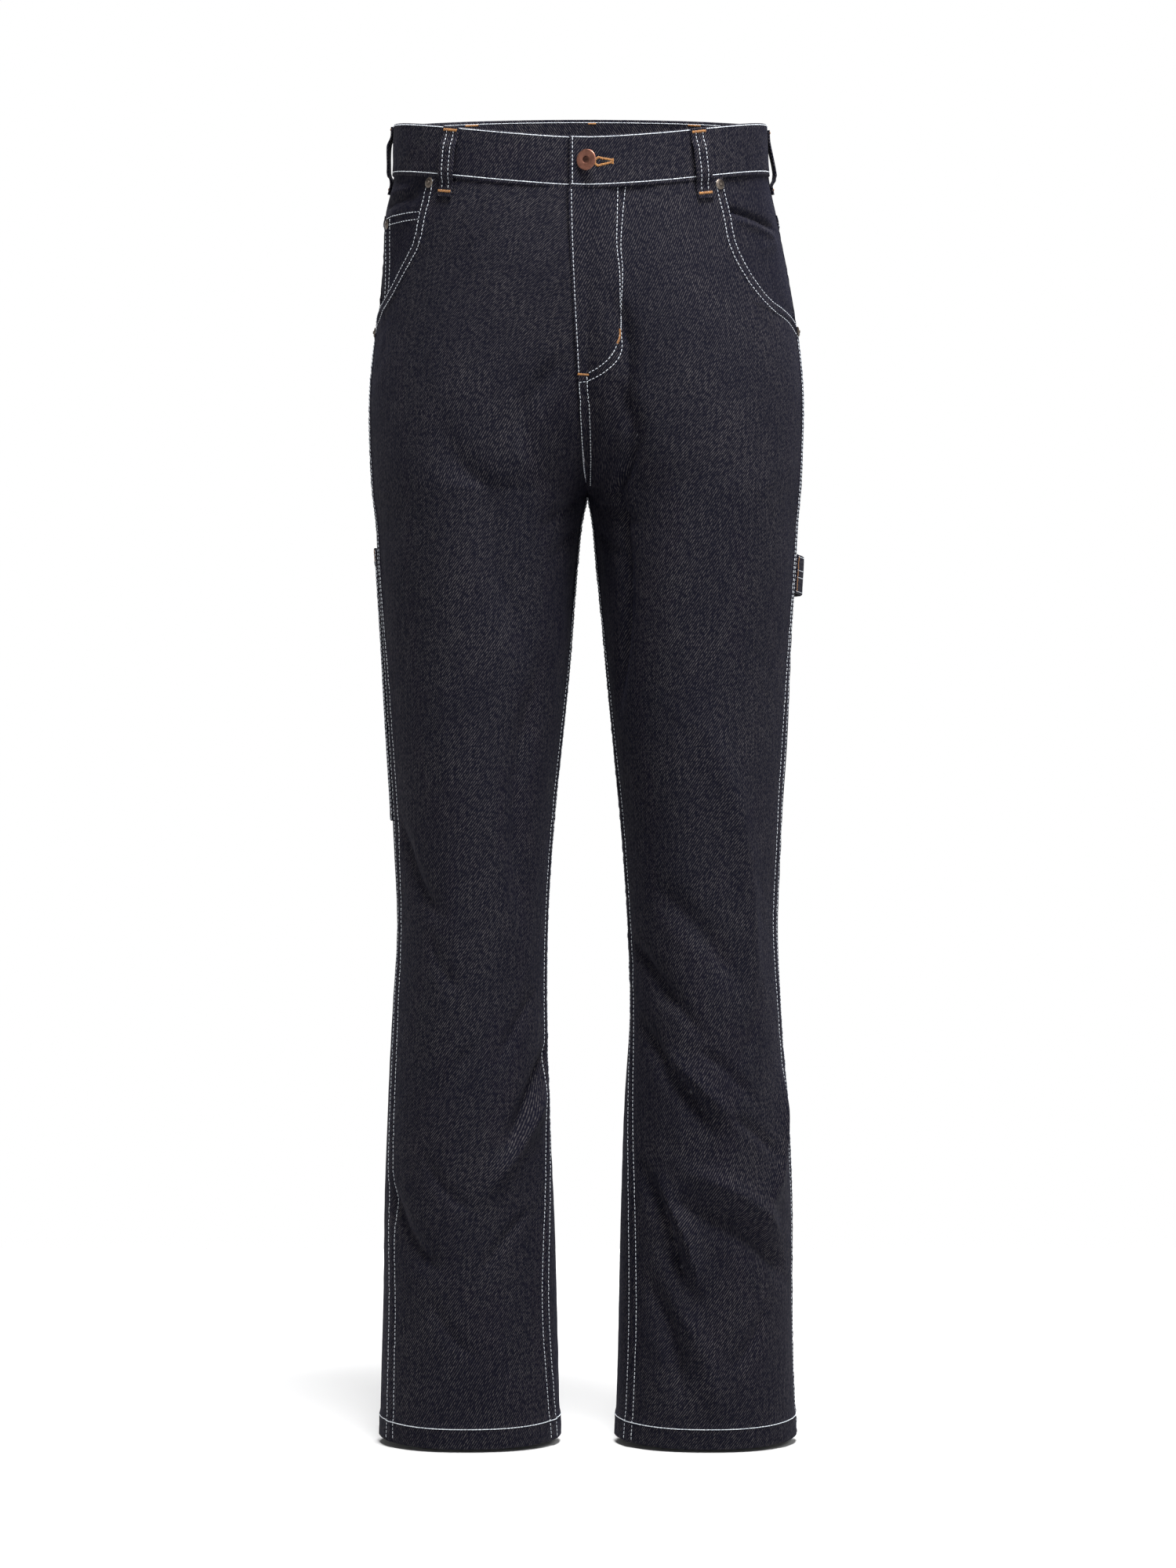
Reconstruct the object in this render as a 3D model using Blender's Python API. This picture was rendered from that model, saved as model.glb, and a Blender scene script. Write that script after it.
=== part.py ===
"""Straight-leg carpenter jeans in raw denim, filled out as worn with no wearer.

Metres, +Z up. The front faces -Y, so the wearer's left is +X. The origin is the centre of the waist
opening, halfway up the waistband at the sides. Every cloth piece is a thin wall whose points come from
one surface: a stack of rounded sections, one stack for each leg, cut off at the middle above the crotch.
"""

import math

import bpy
import numpy as np

MM = 0.001

# Cloth
CLOTH = 1.2 * MM
SEAM_GAP = 0.3 * MM
LAYER = CLOTH + SEAM_GAP
PATCH_GAP = 0.7 * MM
BAND_GAP = 0.6 * MM

# Main levels, measured down from the middle of the waistband at the side
BAND_HEIGHT = 43 * MM
BAND_WALL = 2.4 * MM
BAND_TOP = BAND_HEIGHT / 2
BAND_BOTTOM = -BAND_HEIGHT / 2
CROTCH = -289 * MM
HEM = -1073 * MM
HEM_DEPTH = 18 * MM

# How the waist sits, low in front and high behind, fading out below it, and how the hem dips in front
WAIST_SIDE_DIP = 2 * MM
WAIST_FRONT_DIP = 25.2 * MM
WAIST_FRONT_LINEAR = 0.25
WAIST_FRONT_POWER = 1.6
WAIST_BACK_RISE = 22 * MM
WAIST_BACK_POWER = 1.15
WAIST_FADES_TO = -215 * MM
HEM_SLOPE = 0.06
HEM_SLOPE_STARTS = -880 * MM

# How quickly the two legs open into one body above the crotch
RISE_START = 0.3
RISE_MORE = 1.2
RISE_SPREAD = 0.08
RISE_ROUNDING = 1.41

# Sections in mm: how far each leg's cloth reaches out and in from the middle, and how far the front and
# the back stand from the y = 0 plane. Flat and sharp are powers: how flat the front and back are, and
# how sharply the section turns at its sides. With both at 2 it is an ellipse.
SECTION_COLUMNS = (
    "level", "right_out", "right_in", "left_in", "left_out", "front", "back", "flat", "sharp",
)
SECTIONS = (
    (25, 161.0, 0, 0, 147.8, 111.5, 111.0, 2.15, 2.0),
    (0, 161.6, 0, 0, 148.8, 112.0, 112.0, 2.15, 2.0),
    (-21, 161.8, 0, 0, 150.2, 112.5, 113.5, 2.2, 1.95),
    (-52, 168.5, 0, 0, 156.5, 114.0, 119.5, 2.25, 1.85),
    (-92, 171.0, 0, 0, 165.0, 115.0, 128.5, 2.3, 1.75),
    (-137, 175.6, 0, 0, 173.4, 114.0, 137.5, 2.35, 1.7),
    (-203, 182.2, 0, 0, 181.0, 110.0, 142.0, 2.35, 1.68),
    (-249, 182.0, 0, 0, 180.3, 106.0, 137.0, 2.35, 1.66),
    (-289, 179.6, 0.6, 0.6, 178.1, 102.0, 129.0, 2.3, 1.64),
    (-310, 177.2, 5.0, 4.4, 176.4, 100.0, 125.0, 2.28, 1.63),
    (-347, 175.9, 9.2, 7.8, 174.6, 97.5, 119.0, 2.25, 1.62),
    (-425, 170.7, 15.0, 14.4, 169.4, 92.0, 109.0, 2.2, 1.6),
    (-504, 166.8, 22.9, 21.6, 165.5, 87.0, 102.0, 2.15, 1.6),
    (-582, 162.2, 30.1, 29.4, 160.9, 83.0, 96.5, 2.15, 1.6),
    (-647, 159.6, 34.3, 33.4, 158.3, 80.0, 92.5, 2.15, 1.6),
    (-713, 162.8, 35.3, 34.7, 161.5, 77.0, 90.5, 2.15, 1.62),
    (-791, 167.4, 32.0, 30.7, 166.1, 73.0, 88.0, 2.2, 1.64),
    (-870, 170.0, 28.8, 27.5, 169.4, 68.0, 85.0, 2.25, 1.68),
    (-974, 171.3, 26.2, 25.5, 170.7, 61.0, 80.0, 2.3, 1.74),
    (-1073, 174.6, 22.9, 22.2, 174.0, 56.0, 76.0, 2.35, 1.8),
)

# Where the seams run, in mm forward of the section's outermost and innermost points
SEAM_COLUMNS = ("level", "right_side", "left_side", "right_inseam", "left_inseam")
SEAMS = (
    (25, 0, 8, 0, 0),
    (-137, 0, 9, 0, 0),
    (-242, 8, 16, 0, 0),
    (-289, 12, 18, 0, 0),
    (-340, 16, 17, 3, 5),
    (-504, 18, 18, 5, 10),
    (-713, 18, 12, 6, 18),
    (-800, 20, 4, 14, 28),
    (-870, 23, -4, 25, 36),
    (-950, 26, -9, 31, 36),
    (-1073, 28, -12, 18, 27),
)

# Front pocket mouth: how far the panel's edge stands from the side seam, in mm, at each level
POCKET_MOUTH_COLUMNS = ("level", "right", "left")
POCKET_MOUTH = (
    (-21, 75.5, 83.5),
    (-50, 76.5, 84),
    (-80, 72, 86),
    (-95, 62.5, 82.5),
    (-110, 51, 75.5),
    (-120, 41.5, 68),
    (-130, 24, 53),
    (-138, 8, 26),
    (-144, 3, 10),
)
POCKET_END = -150 * MM
TUCKED_UNDER = 11 * MM
FACING_RISES_FROM = 12 * MM
FACING_RISES_TO = 55 * MM

# Fly: the left front laps over the right one, in mm past the middle, at each level
LAP_COLUMNS = ("level", "past_middle")
LAP = ((25, 14.4), (-40, 13.5), (-92, 11.8), (-190, 9.5), (-225, 6.5), (-250, 2.0), (-262, 0))
LAP_TAPER = 5 * MM
LAP_LIFT = 1.8 * MM
LAP_EASES_FROM = 24 * MM
LAP_EASES_TO = 44 * MM
UNDERLAP = 9 * MM
UNDERLAP_STARTS = 7 * MM

# Waistband ends at the fly
BAND_UNDER_END = 26 * MM
BAND_OVER_END = 14.4 * MM
BAND_END_STEP = (BAND_WALL + SEAM_GAP) / 2

# Yoke: depth below the band at the side seam and at the middle of the back
YOKE_SIDE = 32 * MM
YOKE_MIDDLE = 66 * MM

# Folds: a path from one place to another on one leg, as a share of the way round from the inner
# front edge over the outer side to the inner back edge, and a level in mm. Reach and depth in mm.
FOLD_COLUMNS = ("leg", "round_0", "level_0", "round_1", "level_1", "reach", "depth")
FOLDS = (
    # Left leg, front of the knee and shin
    ("left", 0.07, -730, 0.22, -815, 11, -4.2),
    ("left", 0.10, -742, 0.26, -812, 12, 3.0),
    ("left", 0.055, -846, 0.13, -945, 9, -3.4),
    ("left", 0.10, -858, 0.165, -950, 9, 2.6),
    ("left", 0.12, -872, 0.36, -935, 12, -3.8),
    ("left", 0.16, -846, 0.34, -905, 13, 2.6),
    ("left", 0.06, -936, 0.14, -1035, 10, -2.8),
    ("left", 0.12, -955, 0.20, -1045, 12, 2.0),
    ("left", 0.42, -770, 0.30, -885, 14, 2.4),
    ("left", 0.05, -664, 0.17, -715, 11, -2.6),
    ("left", 0.14, -612, 0.30, -700, 15, -2.0),
    ("left", 0.24, -470, 0.33, -725, 18, 2.2),
    ("left", 0.10, -175, 0.10, -440, 12, -4.0),
    # Right leg, front
    ("right", 0.02, -750, 0.15, -835, 11, -3.2),
    ("right", 0.03, -785, 0.18, -870, 12, 2.6),
    ("right", 0.40, -860, 0.24, -930, 12, -2.6),
    ("right", 0.42, -560, 0.30, -640, 12, -2.2),
    ("right", 0.13, -430, 0.14, -640, 16, -2.4),
    ("right", 0.24, -230, 0.16, -430, 22, -1.8),
    ("right", 0.05, -185, 0.13, -265, 10, -1.8),
    # Backs of both legs: under the seat, behind the knee and above the hem
    ("left", 0.93, -335, 0.70, -365, 13, -3.6),
    ("right", 0.92, -330, 0.69, -362, 13, -3.4),
    ("left", 0.90, -372, 0.66, -410, 15, -2.4),
    ("right", 0.90, -366, 0.70, -412, 15, -2.6),
    ("left", 0.94, -655, 0.66, -625, 12, -4.0),
    ("right", 0.93, -640, 0.68, -668, 12, -3.8),
    ("left", 0.90, -700, 0.62, -668, 13, -3.2),
    ("right", 0.92, -686, 0.64, -712, 13, -3.4),
    ("left", 0.88, -748, 0.70, -728, 12, -2.6),
    ("right", 0.90, -735, 0.72, -760, 12, -2.2),
    ("left", 0.72, -850, 0.86, -930, 14, -2.8),
    ("right", 0.86, -840, 0.70, -925, 14, -3.0),
    ("left", 0.84, -955, 0.72, -1020, 12, -2.0),
    ("right", 0.70, -960, 0.82, -1025, 12, -2.2),
)
MIDDLE_KEPT_FLAT = 0.035

# Belt loops, in mm: the middle's distance across the front or the back or round from the side, how far
# its top is below the band's edge, how far it stands off, between which shares of its height it stands
# off fully, and its foot's lean
LOOP_COLUMNS = (
    "name", "leg", "face", "across", "below_edge", "stand_off", "full_from", "full_to", "lean",
)
BELT_LOOPS = (
    ("belt_loop_front_right", "right", "front", 110.5, 1.0, 2.6, 0.3, 0.6, 5.2),
    ("belt_loop_front_left", "left", "front", 89.0, 1.0, 2.8, 0.3, 0.6, 5.0),
    ("belt_loop_side_right", "right", "side", 8.0, 1.0, 3.0, 0.3, 0.65, 0.0),
    ("belt_loop_side_left", "left", "side", 6.0, 4.0, 3.6, 0.7, 0.78, 0.0),
    ("belt_loop_back_right", "right", "back", 100.0, 1.0, 2.8, 0.3, 0.65, 0.0),
    ("belt_loop_back_left", "left", "back", 92.0, 1.0, 2.8, 0.3, 0.65, 0.0),
    ("belt_loop_back_middle", "left", "middle", 0.0, 1.0, 3.2, 0.3, 0.65, 0.0),
)
LOOP_WIDTH = 14.8 * MM
LOOP_WALL = 2.0 * MM
LOOP_GAP = 0.45 * MM
LOOP_BELOW_BAND = 15 * MM
LOOP_SEATED = 0.12

# Patch pockets on the back
BACK_POCKET_WIDTH = 145 * MM
BACK_POCKET_NARROWING = 7 * MM
BACK_POCKET_HEIGHT = 140 * MM
BACK_POCKET_POINT = 18 * MM
BACK_POCKET_FROM_MIDDLE = 38 * MM
BACK_POCKET_BELOW_YOKE = 30 * MM

# Tool pocket on the back of the right thigh, measured down the side seam from the yoke
TOOL_POCKET_DOWN = 280 * MM
TOOL_POCKET_HEIGHT = 228 * MM
TOOL_POCKET_WIDTH = 82 * MM

# Hammer loop on the left thigh, measured the same way
HAMMER_LOOP_DOWN = 285 * MM
HAMMER_LOOP_WIDTH = 33 * MM
HAMMER_LOOP_RUN = 104 * MM
HAMMER_LOOP_STAND_OFF = 9 * MM
HAMMER_LOOP_SEATED = 9 * MM

# Coin pocket on the right facing
COIN_POCKET_DOWN = 34 * MM
COIN_POCKET_RISE = 9 * MM
COIN_POCKET_HEIGHT = 74 * MM
COIN_POCKET_FROM_SEAM = 24 * MM

# Button: how far it is past the middle, how far it turns to the right, and radii with heights
BUTTON_ACROSS = 0.6 * MM
BUTTON_LEVEL = 1.0 * MM
BUTTON_TURN = math.radians(26)
BUTTON_PROFILE = (
    (0, 1.2 * MM),
    (2.2 * MM, 1.2 * MM),
    (2.2 * MM, 4.2 * MM),
    (8.1 * MM, 4.5 * MM),
    (8.6 * MM, 5.1 * MM),
    (8.1 * MM, 5.7 * MM),
    (3.6 * MM, 6.0 * MM),
    (2.8 * MM, 5.6 * MM),
    (2.6 * MM, 4.9 * MM),
    (0, 4.8 * MM),
)
BUTTON_SEGMENTS = 24

# Rivets: radii with heights, and where they sit
RIVET_PROFILE = (
    (0, 0),
    (3.9 * MM, 0),
    (4.3 * MM, 0.4 * MM),
    (3.4 * MM, 1.1 * MM),
    (1.5 * MM, 1.3 * MM),
    (1.2 * MM, 1.9 * MM),
    (0, 2.1 * MM),
)
RIVET_GAP = 0.4 * MM
RIVET_SEGMENTS = 14
RIVET_INSET = 5 * MM
RIVET_TOP_DOWN = 6 * MM

# Colours: red, green, blue, roughness, metallic
COLOURS = {
    "denim": (0.022, 0.023, 0.045, 0.85, 0.0),
    "copper": (0.42, 0.20, 0.13, 0.35, 1.0),
    "dark_metal": (0.16, 0.14, 0.13, 0.45, 1.0),
}

# How fine the walls are
PANEL_COLUMNS = 12
RISE_ROWS = 16
POCKET_ROW_LEVELS = (-45, -68, -88, -105, -119, -130, -140, -150)
POCKET_ROWS = len(POCKET_ROW_LEVELS)
LEG_ROWS = 38
SIDE_DROP = 10 * MM
YOKE_ROWS = 3
FACING_COLUMNS = 6
FACING_LEAST_WIDTH = 5 * MM
FACING_PART_ROW = 0.6
LINE_SQUEEZE = 0.12
BAND_ROWS = 3
BAND_FINE_PART = 70 * MM
BAND_FINE_COLUMNS = 9
BAND_COLUMNS = 26
LOOP_ROWS = 11
HAMMER_LOOP_COLUMNS = 16
SECTION_SAMPLES = 145
SHARE_STEP = 0.002
LEVEL_STEP = 0.5 * MM
TINY = 1e-9

LEGS = {"right": -1.0, "left": 1.0}


def smooth_curve(levels, values):
    """A smooth curve through a table's points, which run from the highest level to the lowest."""
    x = np.array(levels, float)[::-1]
    y = np.array(values, float)[::-1]
    slopes = np.gradient(y, x)

    def at(level):
        level = np.clip(level, x[0], x[-1])
        i = np.clip(np.searchsorted(x, level) - 1, 0, len(x) - 2)
        step = x[i + 1] - x[i]
        t = (level - x[i]) / step
        rise = t * t * (3 - 2 * t)
        leave = t * (1 - t) ** 2 * step
        arrive = -t * t * (1 - t) * step
        return y[i] + (y[i + 1] - y[i]) * rise + slopes[i] * leave + slopes[i + 1] * arrive

    return at


def table_curves(columns, rows):
    """One smooth curve, in metres, for each column after the first."""
    levels = [row[0] * MM for row in rows]
    curves = {}
    for place, name in enumerate(columns[1:], start=1):
        unit = 1.0 if name in ("flat", "sharp") else MM
        curves[name] = smooth_curve(levels, [row[place] * unit for row in rows])
    return curves


SECTION = table_curves(SECTION_COLUMNS, SECTIONS)
SEAM = table_curves(SEAM_COLUMNS, SEAMS)
MOUTH = table_curves(POCKET_MOUTH_COLUMNS, POCKET_MOUTH)
LAP_PAST = table_curves(LAP_COLUMNS, LAP)["past_middle"]


def ease(value, start, end):
    """0 before start, 1 after end, and smooth between them."""
    t = np.clip((value - start) / (end - start), 0, 1)
    return t * t * (3 - 2 * t)


def signed_power(value, power):
    return np.sign(value) * np.abs(value) ** power


def half_section(leg, level):
    """Points round one leg at each level, from the inner front edge over the side to the inner back.

    Returns x, y and the length run so far, each with one row for a level.
    """
    out = SECTION[leg + "_out"](level)
    rise = np.clip((level - CROTCH) / (BAND_BOTTOM - CROTCH), 0, 1)
    opened = rise * (RISE_START + RISE_MORE * rise / (rise + RISE_SPREAD))
    opened = opened / (RISE_START + RISE_MORE / (1 + RISE_SPREAD))
    above = SEAM_GAP / 2 - out * (1 - (1 - opened) ** RISE_ROUNDING)
    inner = np.where(level > CROTCH, above, SECTION[leg + "_in"](level))
    centre = (out + inner) / 2
    half = (out - inner) / 2
    front = SECTION["front"](level)
    back = SECTION["back"](level)
    depth = (front + back) / 2
    middle = (back - front) / 2
    flat = SECTION["flat"](level)
    sharp = SECTION["sharp"](level)
    reach = np.clip((centre - SEAM_GAP / 2) / half, 0, 1)
    cut = np.arccos(-np.clip(reach ** (flat / 2), 0, 1))
    forward = SEAM[leg + "_inseam"](level) * half / depth**2
    start = np.where(level > CROTCH, cut, math.pi - forward)
    end = np.where(level > CROTCH, -cut, -math.pi - forward)
    turn = start[:, None] + (end - start)[:, None] * np.linspace(0, 1, SECTION_SAMPLES)
    x = centre[:, None] + half[:, None] * signed_power(np.cos(turn), (2 / flat)[:, None])
    y = middle[:, None] - depth[:, None] * signed_power(np.sin(turn), (2 / sharp)[:, None])
    steps = np.hypot(np.diff(x), np.diff(y))
    run = np.concatenate([np.zeros((len(level), 1)), np.cumsum(steps, axis=1)], axis=1)
    return x * LEGS[leg], y, run


def read_along(run, values, wanted):
    """Each row's value where its run reaches the wanted length."""
    i = np.clip((run < wanted[:, None]).sum(1) - 1, 0, run.shape[1] - 2)
    row = np.arange(len(i))
    t = (wanted - run[row, i]) / np.maximum(run[row, i + 1] - run[row, i], TINY)
    return values[row, i] * (1 - t) + values[row, i + 1] * t


def girth(leg, level):
    """The length of one leg's section at each level."""
    return half_section(leg, np.atleast_1d(np.asarray(level, float)))[2][:, -1]


def seam_share(leg, level):
    """Where the side seam is at each level, as a share of the way round."""
    level = np.atleast_1d(np.asarray(level, float))
    x, _, run = half_section(leg, level)
    outermost = np.abs(x).argmax(axis=1)
    reach = run[np.arange(len(level)), outermost]
    return (reach - SEAM[leg + "_side"](level)) / run[:, -1]


def lifted(leg, level, x, y):
    """The height of a point of a level: near the waist and the hem the levels dip in front."""
    front = SECTION["front"](level)
    back = SECTION["back"](level)
    middle = (back - front) / 2
    forward = np.clip((middle - y) / (middle + front), 0, 1)
    backward = np.clip((y - middle) / (back - middle), 0, 1)
    sideways = np.clip(np.abs(x) / SECTION[leg + "_out"](level), 0, 1)
    inward = 1 - sideways**WAIST_FRONT_POWER
    dip = WAIST_FRONT_LINEAR * forward + (1 - WAIST_FRONT_LINEAR) * inward * (y < middle)
    waist = WAIST_BACK_RISE * backward**WAIST_BACK_POWER - WAIST_FRONT_DIP * dip - WAIST_SIDE_DIP
    return level + waist * ease(level, WAIST_FADES_TO, BAND_BOTTOM) + hem_dip(level, y)


def hem_dip(level, y):
    return HEM_SLOPE * y * ease(-level, -HEM_SLOPE_STARTS, -HEM)


def base_points(leg, share, level):
    """Points of the smooth surface. A share below 0 lies past the middle, on the other leg's half."""
    points = np.zeros((len(share), 3))
    other = "left" if leg == "right" else "right"
    for name, chosen in ((leg, share >= 0), (other, share < 0)):
        if not chosen.any():
            continue
        x, y, run = half_section(name, level[chosen])
        wanted = np.abs(share[chosen]) * run[:, -1]
        across = read_along(run, x, wanted)
        deep = read_along(run, y, wanted)
        height = lifted(name, level[chosen], across, deep)
        points[chosen] = np.stack([across, deep, height], axis=1)
    return points


def base_normals(leg, share, level):
    """Outward directions of the smooth surface. The steps that find them stay on one side of the middle
    and of the crotch."""
    near = np.clip(share - SHARE_STEP, np.where(share < 0, -1, 0), 1)
    far = np.clip(share + SHARE_STEP, -1, np.where(share < 0, -TINY, 1))
    above = level > CROTCH
    upper = np.where(above, level + LEVEL_STEP, np.minimum(level + LEVEL_STEP, CROTCH))
    lower = np.where(above, np.maximum(level - LEVEL_STEP, CROTCH + 0.01 * MM), level - LEVEL_STEP)
    around = base_points(leg, far, level) - base_points(leg, near, level)
    down = base_points(leg, share, lower) - base_points(leg, share, upper)
    normal = np.cross(down, around) * LEGS[leg]
    return normal / np.linalg.norm(normal, axis=1, keepdims=True)


def fold_height(leg, share, level):
    """How far the folds push the cloth out or in."""
    height = np.zeros(len(share))
    around = girth(leg, level)
    for fold in FOLDS:
        name, round_0, level_0, round_1, level_1, reach, depth = fold
        if name != leg:
            continue
        start, end = level_0 * MM, level_1 * MM
        along_share = (round_1 - round_0) * around
        across = (share - round_0) * around
        length = np.hypot(along_share, end - start)
        run = (across * along_share + (level - start) * (end - start)) / length**2
        off = (across * (end - start) - (level - start) * along_share) / length
        bowed = off + 0.06 * length * np.sin(math.pi * np.clip(run, 0, 1))
        fade = ease(run, -0.12, 0.3) * (1 - ease(run, 0.7, 1.12))
        height += depth * MM * fade * np.exp(-((bowed / (reach * MM)) ** 2))
    flat = ease(share, 0, MIDDLE_KEPT_FLAT) * (1 - ease(share, 1 - MIDDLE_KEPT_FLAT, 1))
    return height * np.where(level > CROTCH - 30 * MM, flat, 1)


def cloth_points(leg, share, level, offset):
    """Points of the folded cloth, moved out by the offset."""
    share, level, offset = np.broadcast_arrays(share, level, offset)
    shape = share.shape
    share = np.array(share, float).ravel()
    level = np.array(level, float).ravel()
    height = np.array(offset, float).ravel() + fold_height(leg, share, level)
    points = base_points(leg, share, level)
    points += base_normals(leg, share, level) * height[:, None]
    return points.reshape(*shape, 3)


def add_object(name, points, faces, colour):
    """An object from points and faces, turned right side out, with hard edges left sharp."""
    mesh = bpy.data.meshes.new(name)
    mesh.from_pydata([tuple(map(float, p)) for p in points], [], [tuple(map(int, f)) for f in faces])
    mesh.update()
    if signed_volume(mesh) < 0:
        mesh.flip_normals()
    mesh.shade_smooth()
    mesh.set_sharp_from_angle(angle=math.radians(40))
    mesh.materials.append(material(colour))
    made = bpy.data.objects.new(name, mesh)
    bpy.context.scene.collection.objects.link(made)
    return made


def signed_volume(mesh):
    mesh.calc_loop_triangles()
    total = 0.0
    for triangle in mesh.loop_triangles:
        a, b, c = (mesh.vertices[i].co for i in triangle.vertices)
        total += a.dot(b.cross(c))
    return total


def material(name):
    found = bpy.data.materials.get(name)
    if found:
        return found
    red, green, blue, roughness, metallic = COLOURS[name]
    made = bpy.data.materials.new(name)
    made.use_nodes = True
    shader = made.node_tree.nodes["Principled BSDF"]
    shader.inputs["Base Color"].default_value = (red, green, blue, 1.0)
    shader.inputs["Roughness"].default_value = roughness
    shader.inputs["Metallic"].default_value = metallic
    return made


def wall_between(name, outer, inner):
    """A closed cloth wall between two grids of points, with rows downwards and columns across."""
    rows, columns = outer.shape[:2]
    count = rows * columns
    index = np.arange(count).reshape(rows, columns)
    faces = []
    for r in range(rows - 1):
        for c in range(columns - 1):
            a, b, e, d = index[r, c], index[r, c + 1], index[r + 1, c + 1], index[r + 1, c]
            faces += [(a, d, e), (a, e, b)]
            faces += [(a + count, e + count, d + count), (a + count, b + count, e + count)]
    rim = list(index[0]) + list(index[1:, -1]) + list(index[-1, -2::-1]) + list(index[-2:0:-1, 0])
    for here, after in zip(rim, rim[1:] + rim[:1]):
        faces += [(here, after, after + count), (here, after + count, here + count)]
    points = np.concatenate([outer.reshape(-1, 3), inner.reshape(-1, 3)])
    return add_object(name, points, faces, "denim")


class Sheet:
    """A cloth wall's grid of outer and inner points, which other pieces are laid on."""

    def __init__(self, outer, inner):
        self.outer = outer
        self.inner = inner
        self.rows = outer.shape[0] - 1
        self.columns = outer.shape[1] - 1

    def read(self, grid, row, column):
        """Points at part rows and part columns, on the same triangles that the solid has."""
        r = np.clip(np.floor(row).astype(int), 0, self.rows - 1)
        c = np.clip(np.floor(column).astype(int), 0, self.columns - 1)
        down = (row - r)[..., None]
        along = (column - c)[..., None]
        near, across = grid[r, c], grid[r, c + 1]
        below, far = grid[r + 1, c], grid[r + 1, c + 1]
        upper = near + along * (across - near) + down * (far - across)
        lower = near + down * (below - near) + along * (far - below)
        return np.where(along >= down, upper, lower)

    def above(self, row, column, distance):
        """Points that stand this far out from the outer face."""
        face = self.read(self.outer, row, column)
        out = face - self.read(self.inner, row, column)
        return face + out / np.linalg.norm(out, axis=-1, keepdims=True) * np.asarray(distance)[..., None]

    def below(self, row, column, distance):
        """Points that stand this far in from the inner face."""
        face = self.read(self.inner, row, column)
        out = self.read(self.outer, row, column) - face
        return face - out / np.linalg.norm(out, axis=-1, keepdims=True) * np.asarray(distance)[..., None]

    def along_row(self, row):
        """How far each column is from the first one, along a row."""
        columns = np.arange(self.columns + 1.0)
        return run_lengths(self.read(self.outer, np.full(len(columns), float(row)), columns))

    def row_length(self, row):
        return self.along_row(row)[-1]

    def column_at(self, row, distance):
        """The part column this far along a row from the first column."""
        return float(np.interp(distance, self.along_row(row), np.arange(self.columns + 1)))

    def row_at(self, column, distance):
        """The part row this far down a column from the first row."""
        rows = np.arange(self.rows + 1.0)
        line = self.read(self.outer, rows, np.full(len(rows), float(column)))
        return float(np.interp(distance, run_lengths(line), rows))


def run_lengths(line):
    return np.concatenate([[0], np.cumsum(np.linalg.norm(np.diff(line, axis=0), axis=1))])


def squeezed_lines(starts, ends, inside=None):
    """For each pair of edges, the start, a sheet's own grid lines and the end. A line that an edge passes
    is squeezed inside it."""
    if inside is None:
        first = math.ceil(starts.min() + LINE_SQUEEZE)
        inside = np.arange(first, math.floor(ends.max() - LINE_SQUEEZE) + 1.0)
    else:
        inside = inside[1:-1]
    place = np.arange(len(inside))
    low = starts[:, None] + LINE_SQUEEZE * (place + 1)
    high = ends[:, None] - LINE_SQUEEZE * (len(inside) - place)
    return np.concatenate([starts[:, None], np.clip(inside[None, :], low, high), ends[:, None]], axis=1)


def lay_patch(name, sheet, left, right, top, foot):
    """A patch on a sheet, between part columns for a row and part rows for a share of the way across.

    Inside, it has the sheet's own grid lines, squeezed inwards where a slanting edge cuts across them.
    """
    tops = [top(0), top(0.5)]
    feet = [foot(0), foot(0.5)]
    rows = squeezed_lines(np.array([min(tops), max(tops)]), np.array([max(feet), min(feet)]))[1]
    lefts = np.array([left(r) for r in rows])
    rights = np.array([right(r) for r in rows])
    column = squeezed_lines(lefts, rights)
    across = (column - lefts[:, None]) / (rights - lefts)[:, None]
    row = np.zeros(column.shape)
    for c, share in enumerate(across.mean(axis=0)):
        row[:, c] = squeezed_lines(np.array([top(share)]), np.array([foot(share)]), rows)[0]
    low = sheet.above(row, column, np.full(row.shape, PATCH_GAP))
    high = sheet.above(row, column, np.full(row.shape, PATCH_GAP + CLOTH))
    wall_between(name, high, low)
    return Sheet(high, low)


def panel(name, leg, share, level, outside=0.0, wall=CLOTH):
    """A cloth wall over a grid of places. Outside is how far its face stands from the surface."""
    outside = np.broadcast_to(outside, share.shape)
    outer = cloth_points(leg, share, level, outside)
    inner = cloth_points(leg, share, level, outside - np.broadcast_to(wall, share.shape))
    wall_between(name, outer, inner)
    return Sheet(outer, inner)


def middle_levels(face, top, count):
    """Levels down the middle seam to the crotch, spaced evenly along the seam's own curve."""
    levels = CROTCH + (top - CROTCH) * np.linspace(1, 0, 240) ** 2
    edge = np.full(len(levels), 0.0 if face == "front" else 1.0)
    run = run_lengths(base_points("left", edge, levels))
    return np.interp(np.linspace(0, run[-1], count), run, levels)


def pocket_levels():
    """The front's levels at the side seam, closer together where the pocket mouth runs out."""
    return np.array([BAND_BOTTOM - BAND_GAP, *(level * MM for level in POCKET_ROW_LEVELS)])


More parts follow.
